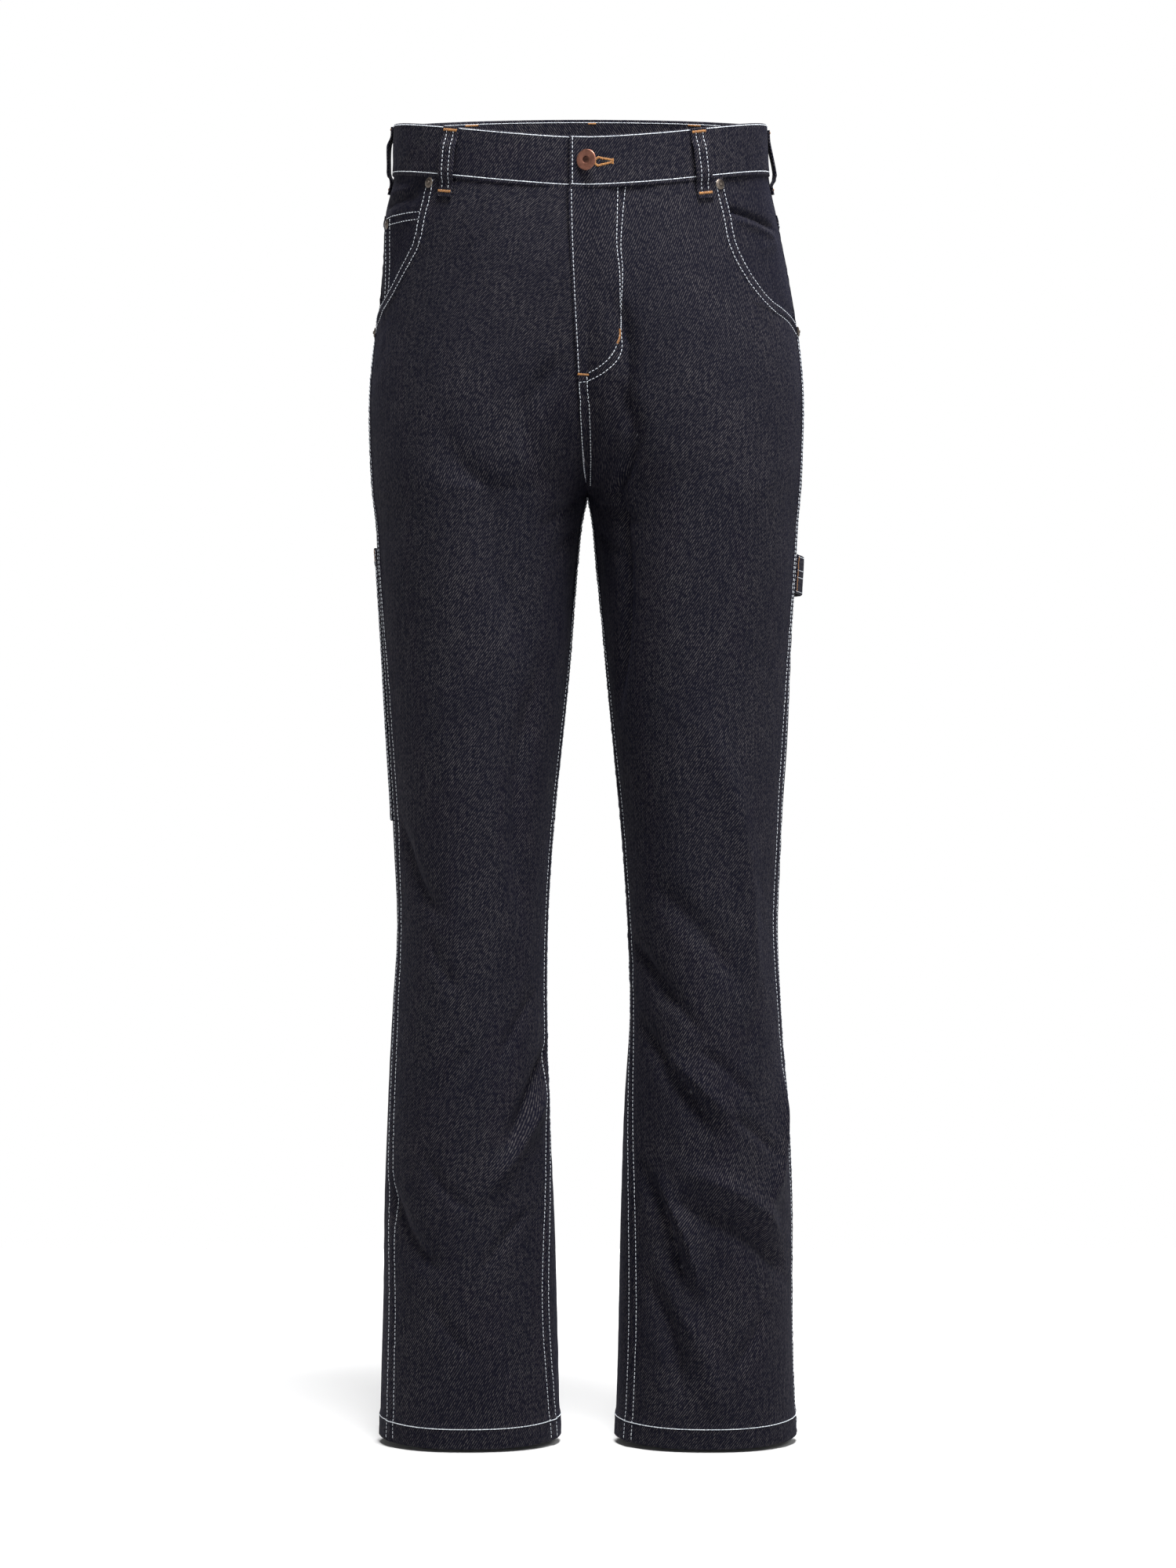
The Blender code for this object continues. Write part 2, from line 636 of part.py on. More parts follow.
def panel_levels(face, top_side, top_middle):
    """A grid of levels: level rows at the side seam that dip to the crotch at the inner edge."""
    below = np.linspace(CROTCH, HEM, LEG_ROWS + 1)[1:]
    middle = np.concatenate([middle_levels(face, top_middle, RISE_ROWS + 1), below])
    side_crotch = CROTCH - SIDE_DROP
    if face == "front":
        lower = np.linspace(POCKET_END, side_crotch, RISE_ROWS - POCKET_ROWS + 1)[1:]
        side = np.concatenate([pocket_levels(), lower])
    else:
        side = np.linspace(top_side, side_crotch, RISE_ROWS + 1)
    side = np.concatenate([side, np.linspace(side_crotch, HEM, LEG_ROWS + 1)[1:]])
    inward = np.linspace(0, 1, PANEL_COLUMNS + 1)[None, :] ** 2
    return side[:, None] + (middle - side)[:, None] * inward


def wall_with_hem(level):
    """The cloth is double where the hem is turned up inside."""
    return CLOTH + LAYER * ease(-level, -HEM - HEM_DEPTH - 3 * MM, -HEM - HEM_DEPTH)


def mouth_width(leg, level):
    """How far the front panel's edge stands from the side seam: the pocket mouth, then nothing."""
    closing = np.clip((level - POCKET_END) / (POCKET_MOUTH[-1][0] * MM - POCKET_END), 0, 1)
    return MOUTH[leg](level) * closing


def front_panel(leg):
    """A front from the waistband to the hem. The left one laps over the right one at the fly."""
    level = panel_levels("front", BAND_BOTTOM - BAND_GAP, BAND_BOTTOM - BAND_GAP)
    length = girth(leg, level[:, 0])
    outer_edge = seam_share(leg, level[:, 0]) - (mouth_width(leg, level[:, 0]) + SEAM_GAP / 2) / length
    middle_length = girth(leg, level[:, -1])
    lap = LAP_PAST(level[:, -1])
    inseam = np.where(level[:, -1] > CROTCH + TINY, 0, SEAM_GAP / 2)
    if leg == "left":
        inner_edge = np.where(lap > SEAM_GAP, -lap, inseam) / middle_length
    else:
        under = np.clip(2 * (lap - UNDERLAP_STARTS), 0, UNDERLAP)
        inner_edge = np.where(lap > SEAM_GAP, lap + SEAM_GAP - under, inseam) / middle_length
    inward = np.linspace(0, 1, PANEL_COLUMNS + 1)[None, :]
    share = outer_edge[:, None] + (inner_edge - outer_edge)[:, None] * inward
    outside = 0.0
    if leg == "left":
        from_edge = (share - inner_edge[:, None]) * middle_length[:, None]
        raised = ease(lap, 0.5 * MM, LAP_TAPER)[:, None]
        outside = LAP_LIFT * raised * (1 - ease(from_edge, LAP_EASES_FROM, LAP_EASES_TO))
    return panel("front_" + leg, leg, share, level, outside, wall_with_hem(level))


def yoke_level(across):
    """The yoke seam's level, where across runs from 0 at the side seam to 1 at the middle."""
    return BAND_BOTTOM - YOKE_SIDE - (YOKE_MIDDLE - YOKE_SIDE) * across


def back_edges(leg, level):
    """The shares of the back's two edges, at the side seam and at the inner edge."""
    side = seam_share(leg, level[:, 0]) + SEAM_GAP / 2 / girth(leg, level[:, 0])
    inseam = np.where(level[:, -1] <= CROTCH + TINY, SEAM_GAP / 2, 0)
    return side, 1 - inseam / girth(leg, level[:, -1])


def back_panel(leg):
    """A back from the yoke to the hem."""
    across = np.linspace(0, 1, PANEL_COLUMNS + 1)
    level = panel_levels("back", yoke_level(0.0) - SEAM_GAP, yoke_level(1.0) - SEAM_GAP)
    fade = np.linspace(1, 0, RISE_ROWS + 1)[:, None]
    level[: RISE_ROWS + 1] += (yoke_level(across) - SEAM_GAP - level[0])[None, :] * fade
    side, inner = back_edges(leg, level)
    share = side[:, None] + (inner - side)[:, None] * across[None, :]
    return panel("back_" + leg, leg, share, level, 0.0, wall_with_hem(level))


def yoke(leg):
    """The shaped piece between the waistband and the back."""
    across = np.linspace(0, 1, PANEL_COLUMNS + 1)[None, :]
    down = np.linspace(0, 1, YOKE_ROWS + 1)[:, None]
    top = BAND_BOTTOM - BAND_GAP
    level = top + (yoke_level(across) - top) * down
    side, inner = back_edges(leg, level)
    share = side[:, None] + (inner - side)[:, None] * across
    return panel("yoke_" + leg, leg, share, level)


def pocket_facing(leg, front):
    """The cloth that shows in the front pocket's mouth. It is tucked under the front's edge."""
    layers = 2 if leg == "right" else 1
    under = SEAM_GAP + (layers - 1) * (CLOTH + PATCH_GAP)
    levels = np.append(pocket_levels(), POCKET_END - TINY)
    rows = np.append(np.arange(POCKET_ROWS + 1.0), POCKET_ROWS + FACING_PART_ROW)
    faces = {0.0: [], CLOTH: []}
    for row, level in zip(rows, levels):
        mouth = float(mouth_width(leg, np.array([level]))[0])
        shown = np.linspace(0, max(mouth, FACING_LEAST_WIDTH), FACING_COLUMNS + 1)
        across = np.append(shown, shown[-1] + TUCKED_UNDER)
        from_mouth = mouth - across
        length = girth(leg, level)[0]
        seam = seam_share(leg, level)[0] - SEAM_GAP / 2 / length
        come_up = ease(from_mouth, FACING_RISES_FROM, FACING_RISES_TO)
        depth = (CLOTH + under) * (1 - come_up) + 0.25 * LAYER * come_up
        tucked = np.array([front.column_at(row, max(-d, 0)) for d in from_mouth])
        for extra, lines in faces.items():
            open_part = cloth_points(leg, seam - across / length, np.full(len(across), level), -depth - extra)
            below = front.below(np.full(len(across), row), tucked, np.full(len(across), under + extra))
            lines.append(np.where((from_mouth > 0)[:, None], open_part, below))
    outer, inner = np.stack(faces[0.0]), np.stack(faces[CLOTH])
    wall_between("pocket_facing_" + leg, outer, inner)
    return Sheet(outer, inner)


def coin_pocket(facing):
    """The small patch pocket on the right facing. Its top rises towards the front, which covers its end."""
    top = facing.row_at(0, COIN_POCKET_DOWN)
    top_end = facing.row_at(0, COIN_POCKET_DOWN - COIN_POCKET_RISE)
    foot = facing.row_at(0, COIN_POCKET_DOWN + COIN_POCKET_HEIGHT)
    return lay_patch(
        "coin_pocket",
        facing,
        left=lambda row: facing.column_at(row, COIN_POCKET_FROM_SEAM),
        right=lambda row: facing.columns - 0.15,
        top=lambda across: top + (top_end - top) * across,
        foot=lambda across: foot,
    )


def back_pocket(leg, back):
    """A patch pocket with a pointed foot."""
    middle_column = PANEL_COLUMNS / 2
    top = back.row_at(middle_column, BACK_POCKET_BELOW_YOKE)
    corner = back.row_at(middle_column, BACK_POCKET_BELOW_YOKE + BACK_POCKET_HEIGHT)
    point = back.row_at(middle_column, BACK_POCKET_BELOW_YOKE + BACK_POCKET_HEIGHT + BACK_POCKET_POINT)

    def side(row, edge):
        narrower = BACK_POCKET_NARROWING * (row - top) / (corner - top)
        middle = back.row_length(row) - BACK_POCKET_FROM_MIDDLE - BACK_POCKET_WIDTH / 2
        return back.column_at(row, middle + edge * (BACK_POCKET_WIDTH / 2 - narrower))

    return lay_patch(
        "back_pocket_" + leg,
        back,
        left=lambda row: side(row, -1),
        right=lambda row: side(row, 1),
        top=lambda across: top,
        foot=lambda across: corner + (point - corner) * (1 - abs(2 * across - 1)),
    )


def tool_pocket(back):
    """The long narrow patch behind the right side seam."""
    top = back.row_at(0, TOOL_POCKET_DOWN)
    foot = back.row_at(0, TOOL_POCKET_DOWN + TOOL_POCKET_HEIGHT)
    return lay_patch(
        "tool_pocket",
        back,
        left=lambda row: back.column_at(row, 1.0 * MM),
        right=lambda row: back.column_at(row, TOOL_POCKET_WIDTH),
        top=lambda across: top,
        foot=lambda across: foot,
    )


def hammer_loop(back):
    """A strap from the left side seam round to the back of the thigh, standing off in the middle."""
    top = back.row_at(0, HAMMER_LOOP_DOWN)
    foot = back.row_at(0, HAMMER_LOOP_DOWN + HAMMER_LOOP_WIDTH)
    rows = squeezed_lines(np.array([top]), np.array([foot]))[0]
    run = np.linspace(0, HAMMER_LOOP_RUN, HAMMER_LOOP_COLUMNS + 1)
    leave = ease(run, HAMMER_LOOP_SEATED, 5 * HAMMER_LOOP_SEATED)
    arrive = ease(HAMMER_LOOP_RUN - run, HAMMER_LOOP_SEATED, 5 * HAMMER_LOOP_SEATED)
    lift = SEAM_GAP + HAMMER_LOOP_STAND_OFF * np.minimum(leave, arrive)
    column = np.array([back.column_at(top, 1.0 * MM + distance) for distance in run])
    column, row = np.meshgrid(column, rows)
    low = back.above(row, column, np.broadcast_to(lift, row.shape))
    high = back.above(row, column, np.broadcast_to(lift + LOOP_WALL, row.shape))
    wall_between("hammer_loop", high, low)


def waistband():
    """One doubled strip all round: its left end laps over its right end at the fly."""
    level = np.linspace(BAND_TOP, BAND_BOTTOM, BAND_ROWS + 1)[:, None]
    grids = {1.0: [], -1.0: []}
    for leg, end, lapped, side in (
        ("right", BAND_UNDER_END, BAND_OVER_END, -1.0),
        ("left", BAND_OVER_END, BAND_UNDER_END, 1.0),
    ):
        length = girth(leg, 0.0)[0]
        near = np.linspace(-end, BAND_FINE_PART, BAND_FINE_COLUMNS + 1)
        far = np.linspace(BAND_FINE_PART, length, BAND_COLUMNS + 1)[1:]
        distance = np.concatenate([near, far])
        step = side * BAND_END_STEP * (1 - ease(distance, lapped + 4 * MM, lapped + 38 * MM))
        share = np.broadcast_to(distance / length, (BAND_ROWS + 1, len(distance)))
        levels = np.broadcast_to(level, share.shape)
        for face, parts in grids.items():
            points = cloth_points(leg, share, levels, step[None, :] + face * BAND_WALL / 2)
            parts.append(points[:, :-1] if leg == "right" else points[:, ::-1])
    outer = np.concatenate(grids[1.0], axis=1)
    inner = np.concatenate(grids[-1.0], axis=1)
    wall_between("waistband", outer, inner)


def loop_place(leg, face, across):
    """The share of the way round where the front, side or back is that far from its middle."""
    x, _, run = half_section(leg, np.zeros(1))
    x, run = np.abs(x[0]), run[0]
    outermost = int(x.argmax())
    if face == "side":
        return (run[outermost] + across) / run[-1]
    if face == "front":
        return np.interp(across, x[: outermost + 1], run[: outermost + 1]) / run[-1]
    return np.interp(across, x[outermost:][::-1], run[outermost:][::-1]) / run[-1]


def belt_loop(name, leg, face, across, below_edge, stand_off, full_from, full_to, lean):
    """A belt loop sewn to the band at its top and to the cloth below the band at its foot."""
    level = np.linspace(BAND_TOP - below_edge * MM, BAND_BOTTOM - LOOP_BELOW_BAND, LOOP_ROWS + 1)
    down = (level[0] - level) / (level[0] - level[-1])
    bow = ease(down, LOOP_SEATED, full_from) * (1 - ease(down, full_to, 1 - LOOP_SEATED))
    on_band = BAND_WALL / 2 * ease(level, BAND_BOTTOM - 2 * MM, BAND_BOTTOM)
    lift = on_band + LOOP_GAP + stand_off * MM * bow
    grids = {0.0: [], LOOP_WALL: []}
    for edge in (-0.5, 0.0, 0.5):
        for extra, lines in grids.items():
            if face == "middle":
                side = "right" if edge < 0 else "left"
                share = 1 - abs(edge) * LOOP_WIDTH / girth(side, level)
            else:
                side = leg
                place = loop_place(leg, face, across * MM)
                share = place + (lean * MM * down + edge * LOOP_WIDTH) / girth(leg, level)
            lines.append(cloth_points(side, share, level, lift + extra))
    wall_between(name, np.stack(grids[LOOP_WALL], axis=1), np.stack(grids[0.0], axis=1))


def turned(name, profile, centre, axis, colour, segments):
    """A round piece from a profile of radii and heights, which starts and ends on its axis."""
    axis = axis / np.linalg.norm(axis)
    side = np.cross(axis, (0.0, 0.0, 1.0))
    side = side / np.linalg.norm(side)
    up = np.cross(side, axis)
    points = [centre + axis * profile[0][1]]
    for radius, height in profile[1:-1]:
        for step in range(segments):
            angle = 2 * math.pi * step / segments
            points.append(centre + axis * height + radius * (side * math.cos(angle) + up * math.sin(angle)))
    points.append(centre + axis * profile[-1][1])
    rings = len(profile) - 2
    last = 1 + (rings - 1) * segments
    faces = []
    for step in range(segments):
        after = (step + 1) % segments
        faces.append((0, 1 + after, 1 + step))
        faces.append((len(points) - 1, last + step, last + after))
        for ring in range(rings - 1):
            a = 1 + ring * segments
            b = a + segments
            faces += [(a + step, a + after, b + after), (a + step, b + after, b + step)]
    return add_object(name, points, faces, colour)


def button():
    """The fly's button: a flat ring with a hollow middle on a short shank, turned a little aside."""
    share = np.array([BUTTON_ACROSS]) / girth("left", 0.0)
    level = np.array([BUTTON_LEVEL])
    outside = BAND_END_STEP + BAND_WALL / 2 + SEAM_GAP
    place = cloth_points("left", share, level, outside)[0]
    out = base_normals("left", share, level)[0]
    cos, sin = math.cos(BUTTON_TURN), math.sin(BUTTON_TURN)
    axis = np.array([out[0] * cos + out[1] * sin, out[1] * cos - out[0] * sin, out[2]])
    turned("button", BUTTON_PROFILE, place, axis, "copper", BUTTON_SEGMENTS)


def rivet(name, sheet, row, column):
    """A pocket rivet: a shallow dome with a small nipple."""
    row, column = np.array([row]), np.array([column])
    foot = sheet.above(row, column, np.array([RIVET_GAP]))[0]
    axis = sheet.above(row, column, np.array([2 * RIVET_GAP]))[0] - foot
    turned(name, RIVET_PROFILE, foot, axis, "dark_metal", RIVET_SEGMENTS)


def rivets(leg, front, back):
    """Rivets at both ends of a pocket mouth."""
    row = front.row_at(1, RIVET_TOP_DOWN)
    rivet("rivet_top_" + leg, front, row, front.column_at(row, RIVET_INSET))
    row = POCKET_ROWS + 0.1
    rivet("rivet_side_" + leg, front, row, front.column_at(row, RIVET_INSET))


def build():
    for old in list(bpy.data.objects):
        bpy.data.objects.remove(old)
    waistband()
    for leg in LEGS:
        front = front_panel(leg)
        back = back_panel(leg)
        yoke(leg)
        facing = pocket_facing(leg, front)
        back_pocket(leg, back)
        rivets(leg, front, back)
        if leg == "right":
            coin = coin_pocket(facing)
            rivet("rivet_coin_pocket", coin, coin.row_at(0, 6 * MM), coin.column_at(0, RIVET_INSET))
            tool_pocket(back)
        else:
            hammer_loop(back)
    for row in BELT_LOOPS:
        belt_loop(*row)
    button()


build()
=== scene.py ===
"""The looks of straight-leg carpenter jeans in raw denim, filled out as worn with no wearer.

Metres, +Z up, front towards -Y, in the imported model's frame. Each cloth solid is replaced by a fine shell
on the same surface: a stack of rounded sections for each leg. Seams, stitches and creases are placed by
how far they are round a leg from its inner front edge, and by a level measured down from the waist.
"""

import math
from collections import namedtuple

import bpy
import numpy as np
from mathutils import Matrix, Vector


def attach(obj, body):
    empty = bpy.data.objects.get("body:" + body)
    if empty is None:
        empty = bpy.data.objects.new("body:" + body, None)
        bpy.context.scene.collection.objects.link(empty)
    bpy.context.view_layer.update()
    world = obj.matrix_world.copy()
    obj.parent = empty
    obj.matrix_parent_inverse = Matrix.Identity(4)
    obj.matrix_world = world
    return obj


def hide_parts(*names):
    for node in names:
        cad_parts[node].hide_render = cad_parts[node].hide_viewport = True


MM = 0.001

# Cloth
CLOTH = 1.2 * MM
SEAM_GAP = 0.3 * MM
LAYER = CLOTH + SEAM_GAP
PATCH_GAP = 0.7 * MM
BAND_GAP = 0.6 * MM

# Main levels, measured down from the middle of the waistband at the side. The cloth reaches up to the
# sewn-in level, out of sight between the waistband's two faces.
BAND_HEIGHT = 43 * MM
BAND_WALL = 2.4 * MM
BAND_TOP = BAND_HEIGHT / 2
BAND_BOTTOM = -BAND_HEIGHT / 2
YOKE_TOP = BAND_BOTTOM - BAND_GAP
SEWN_IN_TOP = BAND_BOTTOM + 1.2 * MM
CROTCH = -289 * MM
HEM = -1073 * MM
HEM_DEPTH = 18 * MM

# How the waist sits, low in front and high behind, fading out below it, and how the hem dips in front
WAIST_SIDE_DIP = 2 * MM
WAIST_FRONT_DIP = 25.2 * MM
WAIST_FRONT_LINEAR = 0.25
WAIST_FRONT_POWER = 1.6
WAIST_BACK_RISE = 22 * MM
WAIST_BACK_POWER = 1.15
WAIST_FADES_TO = -215 * MM
HEM_SLOPE = 0.06
HEM_SLOPE_STARTS = -880 * MM

# How quickly the two legs open into one body above the crotch
RISE_START = 0.3
RISE_MORE = 1.2
RISE_SPREAD = 0.08
RISE_ROUNDING = 1.41

# Sections in mm: how far each leg's cloth reaches out and in from the middle, and how far the front and
# the back stand from the y = 0 plane. Flat and sharp are powers: how flat the front and back are, and
# how sharply the section turns at its sides. With both at 2 it is an ellipse.
SECTION_COLUMNS = (
    "level", "right_out", "right_in", "left_in", "left_out", "front", "back", "flat", "sharp",
)
SECTIONS = (
    (25, 161.0, 0, 0, 147.8, 111.5, 111.0, 2.15, 2.0),
    (0, 161.6, 0, 0, 148.8, 112.0, 112.0, 2.15, 2.0),
    (-21, 161.8, 0, 0, 150.2, 112.5, 113.5, 2.2, 1.95),
    (-52, 168.5, 0, 0, 156.5, 114.0, 119.5, 2.25, 1.85),
    (-92, 171.0, 0, 0, 165.0, 115.0, 128.5, 2.3, 1.75),
    (-137, 175.6, 0, 0, 173.4, 114.0, 137.5, 2.35, 1.7),
    (-203, 182.2, 0, 0, 181.0, 110.0, 142.0, 2.35, 1.68),
    (-249, 182.0, 0, 0, 180.3, 106.0, 137.0, 2.35, 1.66),
    (-289, 179.6, 0.6, 0.6, 178.1, 102.0, 129.0, 2.3, 1.64),
    (-310, 177.2, 5.0, 4.4, 176.4, 100.0, 125.0, 2.28, 1.63),
    (-347, 175.9, 9.2, 7.8, 174.6, 97.5, 119.0, 2.25, 1.62),
    (-425, 170.7, 15.0, 14.4, 169.4, 92.0, 109.0, 2.2, 1.6),
    (-504, 166.8, 22.9, 21.6, 165.5, 87.0, 102.0, 2.15, 1.6),
    (-582, 162.2, 30.1, 29.4, 160.9, 83.0, 96.5, 2.15, 1.6),
    (-647, 159.6, 34.3, 33.4, 158.3, 80.0, 92.5, 2.15, 1.6),
    (-713, 162.8, 35.3, 34.7, 161.5, 77.0, 90.5, 2.15, 1.62),
    (-791, 167.4, 32.0, 30.7, 166.1, 73.0, 88.0, 2.2, 1.64),
    (-870, 170.0, 28.8, 27.5, 169.4, 68.0, 85.0, 2.25, 1.68),
    (-974, 171.3, 26.2, 25.5, 170.7, 61.0, 80.0, 2.3, 1.74),
    (-1073, 174.6, 22.9, 22.2, 174.0, 56.0, 76.0, 2.35, 1.8),
)

# Where the seams run, in mm forward of the section's outermost and innermost points
SEAM_COLUMNS = ("level", "right_side", "left_side", "right_inseam", "left_inseam")
SEAMS = (
    (25, 0, 8, 0, 0),
    (-137, 0, 9, 0, 0),
    (-242, 8, 16, 0, 0),
    (-289, 12, 18, 0, 0),
    (-340, 16, 17, 3, 5),
    (-504, 18, 18, 5, 10),
    (-713, 18, 12, 6, 18),
    (-800, 20, 4, 14, 28),
    (-870, 23, -4, 25, 36),
    (-950, 26, -9, 31, 36),
    (-1073, 28, -12, 18, 27),
)

# Front pocket mouth: how far the panel's edge stands from the side seam, in mm, at each level
POCKET_MOUTH_COLUMNS = ("level", "right", "left")
POCKET_MOUTH = (
    (-21, 75.5, 83.5),
    (-50, 76.5, 84),
    (-80, 72, 86),
    (-95, 62.5, 82.5),
    (-110, 51, 75.5),
    (-120, 41.5, 68),
    (-130, 24, 53),
    (-138, 8, 26),
    (-144, 3, 10),
)
POCKET_END = -150 * MM
TUCKED_UNDER = 11 * MM
FACING_RISES_FROM = 12 * MM
FACING_RISES_TO = 55 * MM

# Fly: the left front laps over the right one, in mm past the middle, at each level
LAP_COLUMNS = ("level", "past_middle")
LAP = (
    (25, 14.6),
    (-27, 14.9),
    (-59, 14.3),
    (-115, 12.5),
    (-163, 10.8),
    (-195, 9.4),
    (-225, 8.3),
    (-262, 6.8),
    (-280, 5.0),
    (-287, 0),
)
LAP_TAPER = 5 * MM
LAP_LIFT = 1.8 * MM
LAP_EASES_FROM = 24 * MM
LAP_EASES_TO = 44 * MM
UNDERLAP = 9 * MM
UNDERLAP_STARTS = 7 * MM

# How far the waistband's ends reach past the middle, the right one under the left one
BAND_END = {"right": 26 * MM, "left": 14.4 * MM}
BAND_END_STEP = (BAND_WALL + SEAM_GAP) / 2

# Yoke: depth below the band at the side seam and at the middle of the back
YOKE_SIDE = 32 * MM
YOKE_MIDDLE = 66 * MM

# Folds: a path from one place to another on one leg, as a share of the way round from the inner
# front edge over the outer side to the inner back edge, and a level in mm. Reach and depth in mm. The
# columns are leg, round_0, level_0, round_1, level_1, reach and depth.
FOLDS = (
    # Left leg, front of the knee and shin
    ("left", 0.07, -730, 0.22, -815, 11, -4.2),
    ("left", 0.10, -742, 0.26, -812, 12, 3.0),
    ("left", 0.055, -846, 0.13, -945, 9, -3.4),
    ("left", 0.10, -858, 0.165, -950, 9, 2.6),
    ("left", 0.12, -872, 0.36, -935, 12, -3.8),
    ("left", 0.16, -846, 0.34, -905, 13, 2.6),
    ("left", 0.06, -936, 0.14, -1035, 10, -2.8),
    ("left", 0.12, -955, 0.20, -1045, 12, 2.0),
    ("left", 0.42, -770, 0.30, -885, 14, 2.4),
    ("left", 0.05, -664, 0.17, -715, 11, -2.6),
    ("left", 0.14, -612, 0.30, -700, 15, -2.0),
    ("left", 0.24, -470, 0.33, -725, 18, 2.2),
    ("left", 0.048, -125, 0.057, -252, 9, -2.6),
    ("left", 0.054, -212, 0.121, -312, 9, -3.0),
    ("left", 0.124, -282, 0.068, -462, 9, -3.2),
    # Right leg, front
    ("right", 0.02, -750, 0.15, -835, 11, -3.2),
    ("right", 0.03, -785, 0.18, -870, 12, 2.6),
    ("right", 0.40, -860, 0.24, -930, 12, -2.6),
    ("right", 0.42, -560, 0.30, -640, 12, -2.2),
    ("right", 0.13, -430, 0.14, -640, 16, -2.4),
    ("right", 0.24, -230, 0.16, -430, 22, -1.8),
    ("right", 0.05, -185, 0.13, -265, 10, -1.8),
    # Backs of both legs: under the seat, behind the knee and above the hem
    ("left", 0.93, -335, 0.70, -365, 13, -3.6),
    ("right", 0.92, -330, 0.69, -362, 13, -3.4),
    ("left", 0.90, -372, 0.66, -410, 15, -2.4),
    ("right", 0.90, -366, 0.70, -412, 15, -2.6),
    ("left", 0.94, -655, 0.66, -625, 12, -4.0),
    ("right", 0.93, -640, 0.68, -668, 12, -3.8),
    ("left", 0.90, -700, 0.62, -668, 13, -3.2),
    ("right", 0.92, -686, 0.64, -712, 13, -3.4),
    ("left", 0.88, -748, 0.70, -728, 12, -2.6),
    ("right", 0.90, -735, 0.72, -760, 12, -2.2),
    ("left", 0.72, -850, 0.86, -930, 14, -2.8),
    ("right", 0.86, -840, 0.70, -925, 14, -3.0),
    ("left", 0.84, -955, 0.72, -1020, 12, -2.0),
    ("right", 0.70, -960, 0.82, -1025, 12, -2.2),
)
MIDDLE_KEPT_FLAT = 0.035

# Belt loops, in mm: the middle's distance across the front or the back or round from the side, how far
# its top is below the band's edge, how far it stands off, between which shares of its height it stands
# off fully, and its foot's lean
BeltLoop = namedtuple("BeltLoop", "name leg face across below_edge stand_off full_from full_to lean")
BELT_LOOPS = [BeltLoop(*row) for row in (
    ("belt_loop_front_right", "right", "front", 110.5, 1.0, 2.6, 0.3, 0.6, 5.2),
    ("belt_loop_front_left", "left", "front", 89.0, 1.0, 2.8, 0.3, 0.6, 5.0),
    ("belt_loop_side_right", "right", "side", 8.0, 1.0, 3.0, 0.3, 0.65, 0.0),
    ("belt_loop_side_left", "left", "side", 6.0, 4.0, 3.6, 0.7, 0.78, 0.0),
    ("belt_loop_back_right", "right", "back", 100.0, 1.0, 2.8, 0.3, 0.65, 0.0),
    ("belt_loop_back_left", "left", "back", 92.0, 1.0, 2.8, 0.3, 0.65, 0.0),
    ("belt_loop_back_middle", "left", "middle", 0.0, 1.0, 3.2, 0.3, 0.65, 0.0),
)]
LOOP_WIDTH = 14.8 * MM
LOOP_WALL = 2.0 * MM
LOOP_GAP = 0.45 * MM
LOOP_BELOW_BAND = 15 * MM
LOOP_SEATED = 0.12

# Patch pockets on the back
BACK_POCKET_WIDTH = 145 * MM
BACK_POCKET_NARROWING = 7 * MM
BACK_POCKET_HEIGHT = 140 * MM
BACK_POCKET_POINT = 18 * MM
BACK_POCKET_FROM_MIDDLE = 38 * MM
BACK_POCKET_BELOW_YOKE = 30 * MM

# Tool pocket on the back of the right thigh, measured down the side seam from the yoke
TOOL_POCKET_DOWN = 280 * MM
TOOL_POCKET_HEIGHT = 228 * MM
TOOL_POCKET_WIDTH = 82 * MM

# Hammer loop on the left thigh, measured the same way
HAMMER_LOOP_DOWN = 285 * MM
HAMMER_LOOP_WIDTH = 33 * MM
HAMMER_LOOP_RUN = 104 * MM
HAMMER_LOOP_STAND_OFF = 9 * MM
HAMMER_LOOP_SEATED = 9 * MM

# Coin pocket on the right facing
COIN_POCKET_DOWN = 34 * MM
COIN_POCKET_RISE = 9 * MM
COIN_POCKET_HEIGHT = 74 * MM
COIN_POCKET_FROM_SEAM = 24 * MM

# Button: how far it is past the middle, how far it turns to the right, and radii with heights
BUTTON_ACROSS = 0.6 * MM
BUTTON_LEVEL = 1.0 * MM
BUTTON_TURN = math.radians(26)
BUTTON_PROFILE = (
    (0, 1.2 * MM),
    (2.2 * MM, 1.2 * MM),
    (2.2 * MM, 4.2 * MM),
    (8.1 * MM, 4.5 * MM),
    (8.6 * MM, 5.1 * MM),
    (8.1 * MM, 5.7 * MM),
    (3.6 * MM, 6.0 * MM),
    (2.8 * MM, 5.6 * MM),
    (2.6 * MM, 4.9 * MM),
    (0, 4.8 * MM),
)
BUTTON_SEGMENTS = 72

# Rivets: radii with heights, and where they sit
RIVET_PROFILE = (
    (0, 0),
    (3.9 * MM, 0),
    (4.3 * MM, 0.4 * MM),
    (3.4 * MM, 1.1 * MM),
    (1.5 * MM, 1.3 * MM),
    (1.2 * MM, 1.9 * MM),
    (0, 2.1 * MM),
)
RIVET_GAP = 0.4 * MM
RIVET_SEGMENTS = 40
RIVET_INSET = 5 * MM
RIVET_TOP_DOWN = 6 * MM

